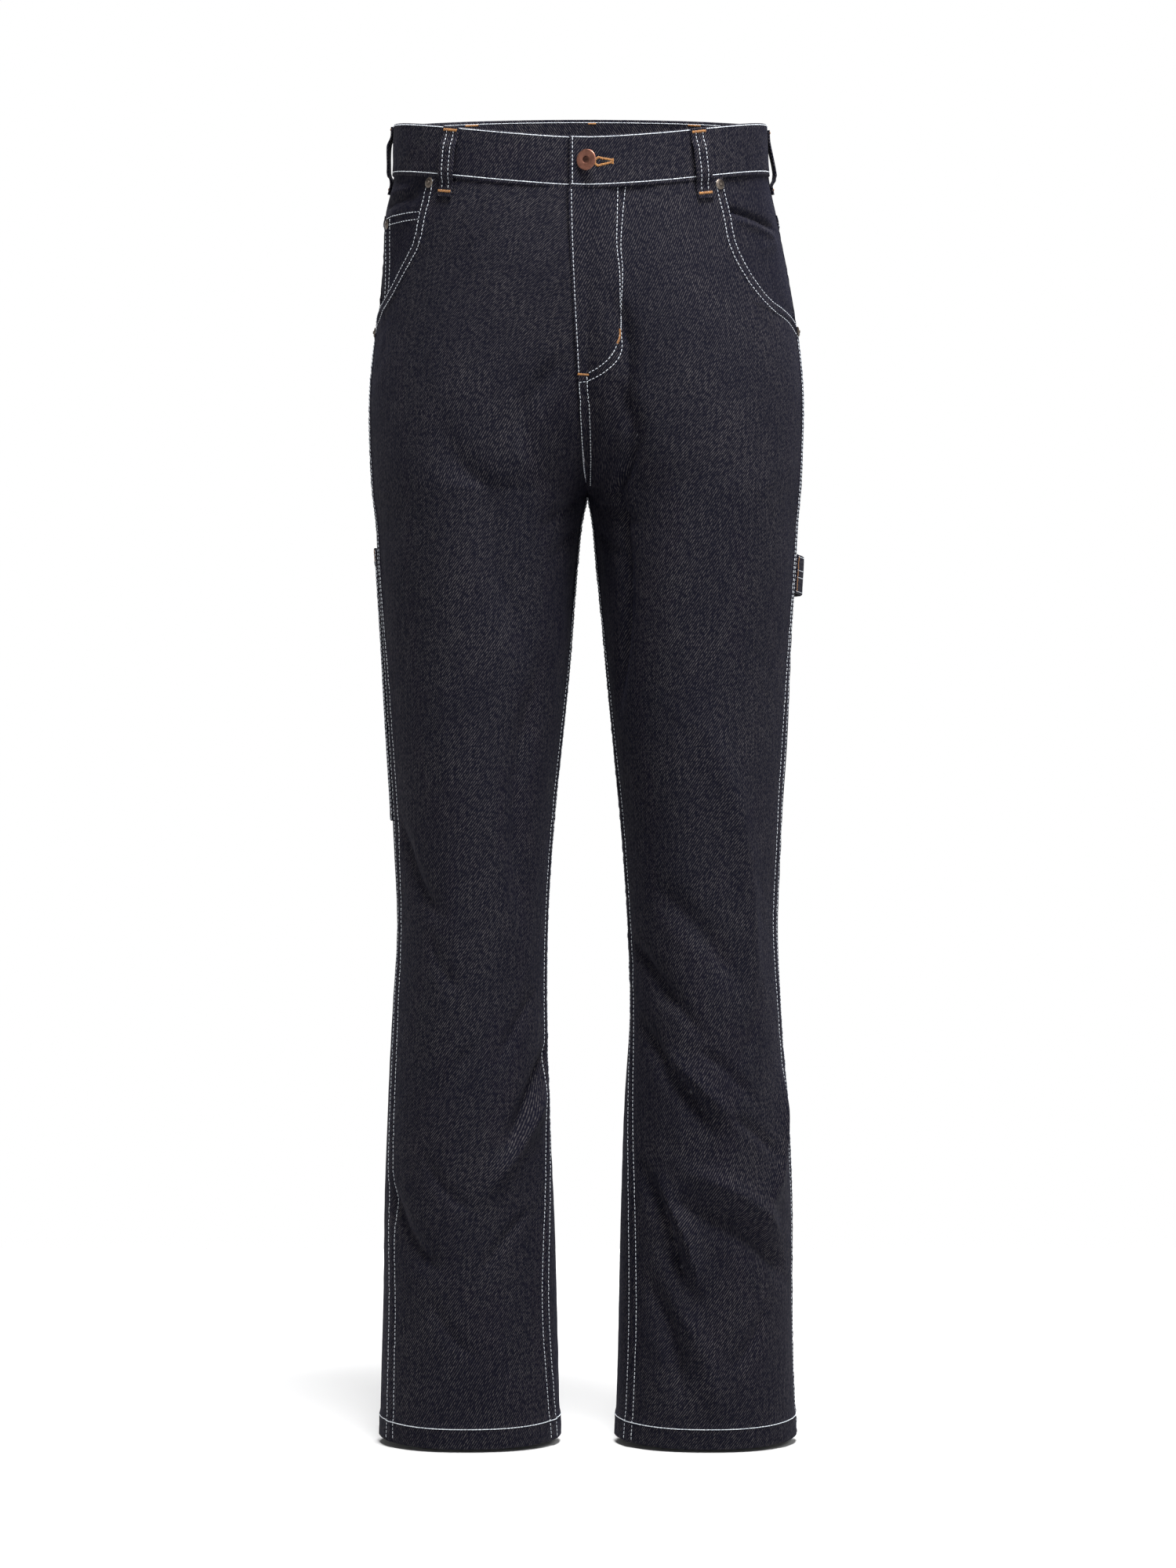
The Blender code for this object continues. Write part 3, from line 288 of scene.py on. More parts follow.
# The scoop's own folds, in mm: leg, distance from the side seam and level at both ends, reach and depth
FACING_CREASES = (
    ("left", 104, -42, 20, -67, 2.8, -4.4),
    ("left", 84, -55, 22, -75, 4.0, 2.4),
    ("left", 58, -84, 20, -78, 6.0, 1.2),
    ("right", 8, -48, 66, -36, 4.0, -3.2),
    ("right", 10, -38, 60, -29, 4.5, 1.8),
)
COIN_POCKET_TOP = BAND_BOTTOM - BAND_GAP - COIN_POCKET_DOWN
COIN_POCKET_SLOPE = COIN_POCKET_RISE / (62 * MM)
COIN_POCKET_GAPE = 1.6 * MM
COIN_POCKET_ROWS = (1.8 * MM, 8.2 * MM)

# Creases finer than the solids' folds, in mm, given in the same way
CREASES = (
    ("left", 0.05, -300, 0.16, -318, 7, -1.2),
    ("left", 0.04, -322, 0.13, -352, 6, -1.0),
    ("right", 0.05, -296, 0.15, -322, 7, -1.2),
    ("right", 0.04, -318, 0.12, -350, 6, -0.9),
    ("left", 0.20, -745, 0.30, -790, 6, -1.3),
    ("left", 0.24, -800, 0.36, -842, 6, -1.2),
    ("left", 0.08, -905, 0.17, -960, 6, -1.3),
    ("left", 0.20, -880, 0.30, -902, 5, -1.2),
    ("left", 0.30, -955, 0.22, -1010, 7, -1.2),
    ("left", 0.13, -690, 0.22, -742, 7, -1.3),
    ("left", 0.35, -690, 0.28, -760, 7, -1.0),
    ("right", 0.08, -700, 0.18, -760, 7, -1.2),
    ("right", 0.22, -740, 0.30, -800, 7, -1.1),
    ("right", 0.30, -835, 0.20, -880, 6, -1.1),
    ("right", 0.08, -880, 0.17, -935, 6, -1.2),
    ("right", 0.26, -950, 0.18, -1000, 7, -1.0),
    ("right", 0.33, -650, 0.26, -700, 7, -1.0),
    ("left", 0.88, -320, 0.72, -334, 7, -1.3),
    ("right", 0.90, -345, 0.74, -362, 7, -1.2),
    ("left", 0.86, -640, 0.70, -652, 6, -1.3),
    ("right", 0.88, -662, 0.72, -654, 6, -1.3),
    ("left", 0.88, -680, 0.74, -700, 6, -1.3),
    ("right", 0.88, -716, 0.74, -700, 6, -1.2),
    ("left", 0.80, -790, 0.68, -830, 7, -1.1),
    ("right", 0.82, -800, 0.72, -850, 7, -1.1),
)
DRAPE_DEPTH = 1.0 * MM

# How much deeper and narrower the folds are than on the solids
FOLD_GAIN = 2.8
FOLD_NARROWED = 0.75

# A fold's shape: how peaked it is across, how far it bows, and where along it, in shares, it starts and
# ends to rise and to fade
FOLD_SHARPNESS = 1.45
CREASE_SHARPNESS = 1.3
FOLD_BOW = 0.06
FOLD_FADES = (-0.12, 0.3, 0.7, 1.12)
FACING_FADES = (-0.1, 0.25, 0.75, 1.1)

# Where each piece's unevenness starts, so that no two are alike
SEEDS = {
    "drape": {"left": 1.3, "right": 4.1},
    "front": {"left": 0.7, "right": 2.9},
    "back": {"left": 5.2, "right": 6.4},
    "yoke": {"left": 8.1, "right": 9.7},
    "band": {"left": 7.7, "right": 2.2},
}
HEM_SEED = 2.3
PATCH_SEED = 3.3
HAMMER_LOOP_SEED = 1.9

# Relief of seams and hems
PUCKER_DEPTH = 0.38 * MM
PUCKER_LENGTH = 9 * MM
SEAM_STRIP = 9.4 * MM
SEAM_RAISE = 0.9 * MM
FELLED_WIDER_AT_HEM = 1.5
HEM_RAISE = 0.6 * MM
SLOPE_LEVELS = np.linspace(-20 * MM, -160 * MM, 281)
BAND_ROW_TOP = 1.4 * MM
BAND_ROW_FOOT = 3.3 * MM
BAND_ROW_END = 2.6 * MM
BAND_ROW_INSET = 1.5 * MM
BAND_ROW_SUNK = 0.22 * MM
BAND_EDGE_ROUND = 1.3 * MM

# How fine the shells are
CROWDED = 0.75
PANEL_COLUMNS = 84
LINING_DEEPER = 1.5 * MM
PANEL_ROW_SPACING = 2.4 * MM
BAND_COLUMN_SPACING = 1.9 * MM
RISE_ROWS = 16
LEG_ROWS = 38
SIDE_DROP = 10 * MM
POCKET_ROW_LEVELS = (-45, -68, -88, -105, -119, -130, -140, -150)
FACING_LEAST_WIDTH = 5 * MM
ROW_SAMPLES = 161
YOKE_GRID = (40, 90)
FACING_GRID = (70, 84)
COIN_POCKET_GRID = (50, 60)
BACK_POCKET_GRID = (70, 70)
TOOL_POCKET_GRID = (46, 110)
HAMMER_LOOP_GRID = (22, 90)
BELT_LOOP_GRID = (44, 18)
BAND_ROWS = 30

# Stitches, the chain's pitch, length and radius, and a thread's rings: their places along it, their
# girths, and how far they rise from the cloth, in radii
STITCH_PITCH = 3.4 * MM
STITCH_LENGTH = 2.65 * MM
STITCH_RADIUS = 0.31 * MM
CHAIN = (3.0 * MM, 3.5 * MM, 0.40 * MM)
CHAIN_INSIDE = (3.0 * MM, 3.5 * MM, 0.36 * MM)
BARTACK_RADIUS = 0.3 * MM
BARTACK_PITCH = 0.5 * MM
THREAD_SIDES = 6
THREAD_ALONG = np.array([-0.5, -0.36, 0.0, 0.36, 0.5])
THREAD_GIRTH = np.array([0.35, 0.9, 1.0, 0.9, 0.35])
THREAD_RISE = np.array([-1.0, 0.1, 0.5, 0.1, -1.0])
SEAM_ROWS = (1.7 * MM, 8.1 * MM)
SCOOP_ROWS = (1.5 * MM, 8.0 * MM)
PATCH_ROWS = (1.6 * MM, 8.0 * MM)
PATCH_HEM_ROWS = (11 * MM, 5 * MM)
HEM_ROW_UP = 16.5 * MM
LOOP_ROW_APART = 6.3 * MM
LOOP_TACKS = (0.042, 0.925)
COIN_POCKET_SIDE_ROWS = (1.8 * MM, 10.5 * MM)
HAMMER_LOOP_ROWS = (0.06, 0.40, 0.58, 0.94)
HAMMER_LOOP_TACKS = (6 * MM, HAMMER_LOOP_RUN - 4 * MM)
FLY_TACK_WIDTH = 1.9 * MM
PATCH_TACK_WIDTH = 2.0 * MM
PATCH_TACK_INSET = 4.8 * MM
LOOP_TACK_WIDTH = 2.2 * MM

# The fly's rows on the left front, in mm across and up, seen from straight in front
FLY_ROWS = (
    (
        (24.1, -46.2), (23.6, -70), (23.4, -96.3), (25.3, -113.4), (26.0, -140), (26.0, -164.1),
        (24.1, -172.3), (19.0, -183.1), (10.1, -191.3), (0.6, -196.4),
    ),
    (
        (30.4, -44.9), (28.0, -70), (26.6, -98.8), (27.9, -113.4), (27.0, -140), (26.6, -162.2),
        (26.6, -180.5), (24.1, -186.2), (16.5, -193.9), (0.6, -202.1), (-8.6, -203.8),
    ),
    ((-13.4, -48.7), (-12.8, -78.5), (-11.0, -128.6), (-9.2, -168.5), (-8.2, -196.4)),
)
# The middle seam's two rows below the fly, given in the same way
MIDDLE_ROWS = (
    ((-7.2, -204), (-6.0, -222), (-4.8, -244), (-3.6, -262), (-2.6, -276)),
    ((-0.6, -198), (0.6, -222), (1.6, -244), (2.0, -262), (1.6, -282)),
)
FLY_BARTACKS = (
    ((25.6, -162.0), (25.4, -168), (23.6, -173.6)),
    ((-8.8, -197.2), (-4, -197.4), (0.8, -197.4)),
)
EYE_X = 8.6 * MM
EYE_RADIUS = 3.3 * MM
BUTTONHOLE_END = 19.2 * MM

# Camera, in front of the middle of the photograph
CAMERA_DISTANCE = 3.6
CAMERA_LEVEL = -0.5297
CAMERA_LENS = 99.08
SENSOR = 36.0
FLOOR_LEVEL = -1.079
FLOOR_REACH = 1.5

# The surround is white up to a little above the horizon and dimmer higher up: the heights between which
# it dims, and its strength before and after
WORLD_FADE = (0.19, 0.27, 1.0, 0.12)
# Lights: name, place, aim, width and power
LIGHTS = (
    ("key", (1.9, -1.9, 1.0), (0.0, 0.0, -0.5), 1.0, 36.0),
    ("fill", (-1.5, -2.6, 0.4), (0.0, 0.0, -0.5), 1.2, 4.0),
    ("top", (0.3, -0.95, 2.0), (0.0, 0.0, -0.7), 0.9, 172.0),
    ("floor", (0.0, 1.5, 1.6), (0.0, 1.3, -1.1), 1.6, 130.0),
)

# Weave: the twill's slope and pitch, the size of its flecks and slubs, and the colours of its threads
TWILL_ANGLE = math.radians(55)
TWILL_SIN = math.sin(TWILL_ANGLE)
TWILL_COS = math.cos(TWILL_ANGLE)
TWILL_PITCH = 1.65 * MM
WARP = (0.0024, 0.0025, 0.0070)
WEFT = (0.056, 0.051, 0.053)
FLECK_WIDTH = 0.0013
FLECK_LENGTH = 0.0034
SLUB_WIDTH = 0.0016
SLUB_LENGTH = 0.03
SHEEN = 0.02

LEGS = {"right": -1.0, "left": 1.0}
OTHER = {"right": "left", "left": "right"}

# How fine the surface's own grid is
SECTION_SAMPLES = 257
SHARE_COUNT = 401
LEVEL_SPACING = 2 * MM
ZONE_TOP = 27 * MM
ABOVE_CROTCH = CROTCH + 0.01 * MM
TINY = 1e-9


def curve_through(x, y):
    """A smooth curve through a table's points, whose places rise."""
    slopes = np.gradient(y, x)

    def at(place):
        place = np.clip(place, x[0], x[-1])
        i = np.clip(np.searchsorted(x, place) - 1, 0, len(x) - 2)
        step = x[i + 1] - x[i]
        t = (place - x[i]) / step
        rise = t * t * (3 - 2 * t)
        bend = t * (1 - t) ** 2 * step * slopes[i] - t * t * (1 - t) * step * slopes[i + 1]
        return y[i] + (y[i + 1] - y[i]) * rise + bend

    return at


def table_curves(columns, rows):
    """One smooth curve, in metres, for each column after the first. The rows run down."""
    levels, *values = np.array(rows, float)[::-1].T
    curves = {}
    for name, column in zip(columns[1:], values):
        unit = 1.0 if name in ("flat", "sharp") else MM
        curves[name] = curve_through(levels * MM, column * unit)
    return curves


SECTION = table_curves(SECTION_COLUMNS, SECTIONS)
SEAM = table_curves(SEAM_COLUMNS, SEAMS)
MOUTH = table_curves(POCKET_MOUTH_COLUMNS, POCKET_MOUTH)
LAP_PAST = table_curves(LAP_COLUMNS, LAP)["past_middle"]


def ease(value, start, end):
    """0 before start, 1 after end, and smooth between them."""
    t = np.clip((value - start) / (end - start), 0, 1)
    return t * t * (3 - 2 * t)


def signed_power(value, power):
    return np.sign(value) * np.abs(value) ** power


def half_section(leg, level):
    """Points round one leg at each level, from the inner front edge over the side to the inner back.

    Returns x, y and the length run so far, each with one row for a level.
    """
    out = SECTION[leg + "_out"](level)
    rise = np.clip((level - CROTCH) / (BAND_BOTTOM - CROTCH), 0, 1)
    opened = rise * (RISE_START + RISE_MORE * rise / (rise + RISE_SPREAD))
    opened = opened / (RISE_START + RISE_MORE / (1 + RISE_SPREAD))
    above = SEAM_GAP / 2 - out * (1 - (1 - opened) ** RISE_ROUNDING)
    inner = np.where(level > CROTCH, above, SECTION[leg + "_in"](level))
    centre = (out + inner) / 2
    half = (out - inner) / 2
    front = SECTION["front"](level)
    back = SECTION["back"](level)
    depth = (front + back) / 2
    middle = (back - front) / 2
    flat = SECTION["flat"](level)
    sharp = SECTION["sharp"](level)
    reach = np.clip((centre - SEAM_GAP / 2) / half, 0, 1)
    cut = np.arccos(-np.clip(reach ** (flat / 2), 0, 1))
    forward = SEAM[leg + "_inseam"](level) * half / depth**2
    start = np.where(level > CROTCH, cut, math.pi - forward)
    end = np.where(level > CROTCH, -cut, -math.pi - forward)
    turn = start[:, None] + (end - start)[:, None] * np.linspace(0, 1, SECTION_SAMPLES)
    x = centre[:, None] + half[:, None] * signed_power(np.cos(turn), (2 / flat)[:, None])
    y = middle[:, None] - depth[:, None] * signed_power(np.sin(turn), (2 / sharp)[:, None])
    steps = np.hypot(np.diff(x), np.diff(y))
    run = np.concatenate([np.zeros((len(level), 1)), np.cumsum(steps, axis=1)], axis=1)
    return x * LEGS[leg], y, run


def hem_dip(level, y):
    return HEM_SLOPE * y * ease(-level, -HEM_SLOPE_STARTS, -HEM)


def lifted(leg, level, x, y):
    """The height of a point of a level: near the waist and the hem the levels dip in front."""
    front = SECTION["front"](level)
    back = SECTION["back"](level)
    middle = (back - front) / 2
    forward = np.clip((middle - y) / (middle + front), 0, 1)
    backward = np.clip((y - middle) / (back - middle), 0, 1)
    sideways = np.clip(np.abs(x) / SECTION[leg + "_out"](level), 0, 1)
    inward = 1 - sideways**WAIST_FRONT_POWER
    dip = WAIST_FRONT_LINEAR * forward + (1 - WAIST_FRONT_LINEAR) * inward * (y < middle)
    waist = WAIST_BACK_RISE * backward**WAIST_BACK_POWER - WAIST_FRONT_DIP * dip - WAIST_SIDE_DIP
    return level + waist * ease(level, WAIST_FADES_TO, BAND_BOTTOM) + hem_dip(level, y)


class Zone:
    """One leg's smooth surface above or below the crotch, as a fine grid of points and directions."""

    def __init__(self, leg, top, bottom):
        self.levels = np.linspace(top, bottom, round((top - bottom) / LEVEL_SPACING) + 1)
        x, y, run = half_section(leg, self.levels)
        self.length = run[:, -1]
        shares = np.linspace(0, 1, SHARE_COUNT)
        across = np.array([np.interp(shares * r[-1], r, line) for r, line in zip(run, x)])
        deep = np.array([np.interp(shares * r[-1], r, line) for r, line in zip(run, y)])
        height = lifted(leg, self.levels[:, None], across, deep)
        self.points = np.stack([across, deep, height], axis=2)
        down = np.gradient(self.points, axis=0)
        around = np.gradient(self.points, axis=1)
        out = np.cross(down, around) * LEGS[leg]
        self.normals = out / np.linalg.norm(out, axis=2, keepdims=True)
        outermost = np.abs(x).argmax(axis=1)
        self.side = run[np.arange(len(run)), outermost]

    def read(self, share, level):
        """Points and outward directions at these places."""
        row = (self.levels[0] - level) / (self.levels[0] - self.levels[-1]) * (len(self.levels) - 1)
        column = share * (SHARE_COUNT - 1)
        r = np.clip(np.floor(row).astype(int), 0, len(self.levels) - 2)
        c = np.clip(np.floor(column).astype(int), 0, SHARE_COUNT - 2)
        down, along = (row - r)[:, None], (column - c)[:, None]
        read = []
        for grid in (self.points, self.normals):
            upper = grid[r, c] * (1 - along) + grid[r, c + 1] * along
            lower = grid[r + 1, c] * (1 - along) + grid[r + 1, c + 1] * along
            read.append(upper * (1 - down) + lower * down)
        points, normals = read
        return points, normals / np.linalg.norm(normals, axis=1, keepdims=True)

    def length_at(self, level):
        return np.interp(-level, -self.levels, self.length)

    def side_at(self, level):
        return np.interp(-level, -self.levels, self.side)


ZONES = {leg: (Zone(leg, ZONE_TOP, ABOVE_CROTCH), Zone(leg, CROTCH, HEM)) for leg in LEGS}


def girth(leg, level):
    """The length of one leg's section at each level."""
    level = np.asarray(level, float)
    above, below = ZONES[leg]
    return np.where(level > CROTCH, above.length_at(level), below.length_at(level))


def seam_share(leg, level):
    """Where the side seam is at each level, as a share of the way round."""
    level = np.asarray(level, float)
    above, below = ZONES[leg]
    side = np.where(level > CROTCH, above.side_at(level), below.side_at(level))
    return (side - SEAM[leg + "_side"](level)) / girth(leg, level)


def smooth_surface(leg, share, level):
    """Points and outward directions. A share below 0 lies past the middle, on the other leg's half."""
    points = np.zeros((len(share), 3))
    normals = np.zeros((len(share), 3))
    for name, on_leg in ((leg, share >= 0), (OTHER[leg], share < 0)):
        for zone, in_zone in zip(ZONES[name], (level > CROTCH, level <= CROTCH)):
            chosen = on_leg & in_zone
            if chosen.any():
                points[chosen], normals[chosen] = zone.read(np.abs(share[chosen]), level[chosen])
    return points, normals


class Shader:
    """Builds one material's nodes, each call adding one node and returning what it gives."""

    def __init__(self, name):
        self.made = bpy.data.materials.new(name)
        self.made.use_nodes = True
        self.nodes = self.made.node_tree.nodes
        self.links = self.made.node_tree.links
        self.surface = self.nodes["Principled BSDF"]

    def node(self, kind, inputs=(), **settings):
        made = self.nodes.new(kind)
        for key, value in settings.items():
            setattr(made, key, value)
        for key, value in dict(inputs).items():
            self.feed(made.inputs[key], value)
        return made

    def feed(self, socket, value):
        if isinstance(value, bpy.types.NodeSocket):
            self.links.new(value, socket)
        else:
            socket.default_value = value

    def math(self, operation, first, second=0.0, third=0.0):
        inputs = {0: first, 1: second, 2: third}
        return self.node("ShaderNodeMath", inputs, operation=operation).outputs[0]

    def times(self, first, second):
        return self.math("MULTIPLY", first, second)

    def noise(self, vector, scale, detail=2.0, roughness=0.5):
        inputs = {"Vector": vector, "Scale": scale, "Detail": detail, "Roughness": roughness}
        return self.node("ShaderNodeTexNoise", inputs).outputs["Fac"]

    def vector(self, x, y, z=0.0):
        return self.node("ShaderNodeCombineXYZ", {0: x, 1: y, 2: z}).outputs[0]

    def fit(self, value, low, high, new_low=0.0, new_high=1.0):
        inputs = {0: value, 1: low, 2: high, 3: new_low, 4: new_high}
        return self.node("ShaderNodeMapRange", inputs, interpolation_type="SMOOTHSTEP").outputs[0]

    def mix(self, share, first, second):
        made = self.node("ShaderNodeMix", data_type="RGBA")
        self.feed(made.inputs["Factor"], share)
        self.feed(made.inputs[6], first)
        self.feed(made.inputs[7], second)
        return made.outputs[2]

    def set(self, **values):
        for key, value in values.items():
            self.feed(self.surface.inputs[key.replace("_", " ")], value)

    def bump(self, height, distance, strength=1.0):
        inputs = {"Height": height, "Distance": distance, "Strength": strength}
        return self.node("ShaderNodeBump", inputs).outputs[0]


def denim(name, weft_amount, warp_colour=WARP, weft_colour=WEFT):
    """Right-hand twill: pale weft lines that rise to the right, broken into flecks, on dark warp."""
    shader = Shader(name)
    grain_uv = shader.node("ShaderNodeUVMap", uv_map="grain").outputs[0]
    split = shader.node("ShaderNodeSeparateXYZ", {0: grain_uv})
    u, v = split.outputs[0], split.outputs[1]
    wander = shader.noise(shader.vector(u, v), 55.0, 2.0)
    wander = shader.times(shader.math("SUBTRACT", wander, 0.5), 0.0012)
    across = shader.math("MULTIPLY_ADD", u, TWILL_SIN, shader.times(v, -TWILL_COS))
    across = shader.math("ADD", across, wander)
    along = shader.math("MULTIPLY_ADD", u, TWILL_COS, shader.times(v, TWILL_SIN))
    wave = shader.math("SINE", shader.times(across, 2 * math.pi / TWILL_PITCH))
    line = shader.fit(wave, -0.55, 0.9)
    place = shader.vector(shader.times(across, 1 / FLECK_WIDTH), shader.times(along, 1 / FLECK_LENGTH))
    flecks = shader.fit(shader.noise(place, 1.0, 2.0), 0.38, 0.62)
    place = shader.vector(shader.times(u, 1 / SLUB_WIDTH), shader.times(v, 1 / SLUB_LENGTH))
    slubs = shader.fit(shader.noise(place, 1.0, 3.0, 0.6), 0.3, 0.72, 0.6, 1.4)
    patches = shader.noise(shader.vector(u, v), 16.0, 3.0, 0.6)
    patches = shader.fit(patches, 0.3, 0.7, 0.8, 1.2)
    pale = shader.times(line, shader.math("MULTIPLY_ADD", flecks, 0.9, 0.1))
    pale = shader.times(shader.times(pale, slubs), shader.times(patches, weft_amount))
    lint = shader.node("ShaderNodeTexVoronoi", {"Vector": shader.vector(u, v), "Scale": 240.0})
    lint = shader.times(shader.fit(lint.outputs["Distance"], 0.09, 0.03), 0.2)
    pale = shader.math("MINIMUM", shader.math("ADD", pale, lint), 1.0)
    colour = shader.mix(pale, (*warp_colour, 1.0), (*weft_colour, 1.0))
    height = shader.math("ADD", shader.times(wave, 0.5), shader.times(flecks, 0.35))
    height = shader.math("ADD", height, shader.times(slubs, 0.35))
    shader.set(
        Base_Color=colour,
        Roughness=shader.fit(slubs, 0.6, 1.4, 0.88, 0.78),
        Normal=shader.bump(height, 0.00016),
        Specular_IOR_Level=0.06,
        Sheen_Weight=SHEEN,
        Sheen_Roughness=0.45,
        Sheen_Tint=(0.12, 0.13, 0.42, 1.0),
    )
    return shader.made


def thread(name, colour, dark):
    """Twisted sewing thread, worn unevenly pale, and paler on the ridges of its twist than in its grooves:
    painted shade.
    """
    shader = Shader(name)
    place = shader.node("ShaderNodeTexCoord").outputs["Object"]
    twist = shader.node("ShaderNodeTexWave", {"Vector": place, "Scale": 900.0, "Distortion": 2.0})
    twist = twist.outputs["Fac"]
    shade = shader.noise(place, 420.0, 2.0)
    share = shader.times(shader.fit(shade, 0.25, 0.75), 0.7)
    # The twist's ridges are coloured paler and its grooves darker: painted shade on top of the bump. The
    # noise part is uneven wear.
    share = shader.math("MULTIPLY_ADD", twist, 0.3, share)
    shader.set(
        Base_Color=shader.mix(share, (*dark, 1.0), (*colour, 1.0)),
        Roughness=0.6,
        Normal=shader.bump(twist, 0.00008),
        Specular_IOR_Level=0.35,
        Sheen_Weight=0.15,
    )
    return shader.made


def metal(name, worn, dull, roughness):
    """Plated metal: brighter where the profile turns, duller and speckled elsewhere."""
    shader = Shader(name)
    place = shader.node("ShaderNodeTexCoord").outputs["Object"]
    speckle = shader.noise(place, 1300.0, 3.0, 0.65)
    cloud = shader.noise(place, 260.0, 2.0)
    wear = shader.node("ShaderNodeNewGeometry").outputs["Pointiness"]
    wear = shader.fit(wear, 0.49, 0.56)
    wear = shader.times(wear, 0.75)
    share = shader.math("MULTIPLY_ADD", shader.fit(cloud, 0.35, 0.7), 0.45, wear)
    share = shader.times(share, shader.fit(speckle, 0.2, 0.6, 0.6, 1.0))
    share = shader.math("MINIMUM", share, 1.0)
    shader.set(
        Base_Color=shader.mix(share, (*dull, 1.0), (*worn, 1.0)),
        Metallic=1.0,
        Roughness=shader.fit(speckle, 0.3, 0.7, roughness, roughness + 0.18),
        Normal=shader.bump(speckle, 0.00006),
    )
    return shader.made


def plain(name, colour, roughness):
    shader = Shader(name)
    shader.set(Base_Color=(*colour, 1.0), Roughness=roughness)
    return shader.made


MATERIALS = {
    "denim": denim("denim_outside", 0.72),
    "denim_inside": denim("denim_inside", 1.0, (0.012, 0.013, 0.019), (0.13, 0.125, 0.13)),
    # The facings are the same denim as the fronts. This copy has less pale weft, so it reads darker and more
    # navy: painted shade in the pocket mouths.
    "facing": denim("denim_facing_shaded", 0.5),
    "thread": thread("white_thread", (0.64, 0.67, 0.70), (0.30, 0.33, 0.38)),
    "orange_thread": thread("orange_thread", (0.34, 0.15, 0.03), (0.16, 0.06, 0.012)),
    "slit": plain("shadow_in_slit", (0.004, 0.004, 0.006), 0.9),
    "copper": metal("copper_plate", (0.21, 0.095, 0.068), (0.045, 0.022, 0.018), 0.38),
    "dark_metal": metal("dark_metal_plate", (0.15, 0.125, 0.105), (0.05, 0.042, 0.038), 0.36),
}


def crease(across, down, dx, dz, reach, sharp, fades, bow=0.0):
    """A crease's height as a share. Across and down are counted from its start, and dx and dz lead to its
    end. It is rounded where sharp is 2, and peaked where it is nearer to 1."""
    length = np.hypot(dx, dz)
    run = (across * dx + down * dz) / length**2
    off = (across * dz - down * dx) / length + bow * length * np.sin(math.pi * np.clip(run, 0, 1))
    fade = ease(run, *fades[:2]) * (1 - ease(run, *fades[2:]))
    return fade * np.exp(-((np.abs(off) / reach + 0.02) ** sharp))


def fold_height(leg, share, level):
    """How far the folds and creases push the cloth out or in."""
    height = np.zeros(share.shape)
    around = girth(leg, level)
    for table, sharp in ((FOLDS, FOLD_SHARPNESS), (CREASES, CREASE_SHARPNESS)):
        for name, round_0, level_0, round_1, level_1, reach, depth in table:
            if name != leg:
                continue
            across, dx = (share - round_0) * around, (round_1 - round_0) * around
            down, dz = level - level_0 * MM, (level_1 - level_0) * MM
            narrow = FOLD_NARROWED * reach * MM
            shape = crease(across, down, dx, dz, narrow, sharp, FOLD_FADES, FOLD_BOW)
            height += FOLD_GAIN * depth * MM * shape
    flat = ease(share, 0, MIDDLE_KEPT_FLAT) * (1 - ease(share, 1 - MIDDLE_KEPT_FLAT, 1))
    return height * np.where(level > CROTCH - 30 * MM, flat, 1)


def uneven(place, wavelength, seed):
    """A smooth, irregular wave between about -1 and 1 along a line."""
    a = np.sin(2 * math.pi * place / wavelength + seed)
    b = np.sin(2 * math.pi * place / (wavelength * 1.37) + 2.1 * seed)
    c = np.sin(2 * math.pi * place / (wavelength * 3.9) + 3.7 * seed)
    return (a + 0.6 * b) / 1.6 * (0.65 + 0.35 * c)


def drape(leg, share, level):
    """Broad, shallow unevenness of cloth that has never been washed."""
    u = share * girth(leg, level)
    seed = SEEDS["drape"][leg]
    broad = np.sin(u / (31 * MM) + seed + 1.2 * np.sin(level / (74 * MM) + seed))
    long = np.sin(level / (47 * MM) + 1.7 * seed + 0.9 * np.sin(u / (38 * MM)))
    fine = uneven(u + 0.35 * level, 23 * MM, seed) * uneven(level - 0.4 * u, 41 * MM, 2 * seed)
    return DRAPE_DEPTH * (0.6 * broad * long + 0.5 * fine)


def puckers(along, off, seed, reach=11 * MM, depth=PUCKER_DEPTH):
    """Short ripples across a sewn row, which fade away from it."""
    wave = uneven(along + 0.45 * off, PUCKER_LENGTH, seed)
    return depth * wave * np.exp(-((off / reach) ** 2))


def raised_strip(off, width, height):
    """A strip beside an edge where more layers lie under the cloth. Off runs in from the edge."""
    return height * ease(off, -0.4 * MM, 0.5 * MM) * (1 - ease(off, width - 0.8 * MM, width + 1.6 * MM))


def felled_wider(level):
    """How much wider the leg seams' double rows are than at the hips."""
    return 1 + (FELLED_WIDER_AT_HEM - 1) * ease(CROTCH - level, 0, 300 * MM)


def hem_relief(leg, share, level):
    """The turned-up hem is a little thicker, and its lower part is roped on the slant."""
    up = level - HEM
    around = share * girth(leg, level)
    thick = HEM_RAISE * (1 - ease(up, HEM_DEPTH, HEM_DEPTH + 2 * MM))
    roped = ease(up, -1 * MM, 6 * MM) * (1 - ease(up, HEM_DEPTH - 5 * MM, HEM_DEPTH + 9 * MM))
    return thick + 0.35 * MM * uneven(around + 0.9 * up, 9.5 * MM, HEM_SEED) * roped


def mouth_width(leg, level):
    """How far the front panel's edge stands from the side seam: the pocket mouth, then nothing."""
    closing = np.clip((level - POCKET_END) / (POCKET_MOUTH[-1][0] * MM - POCKET_END), 0, 1)
    return MOUTH[leg](level) * closing


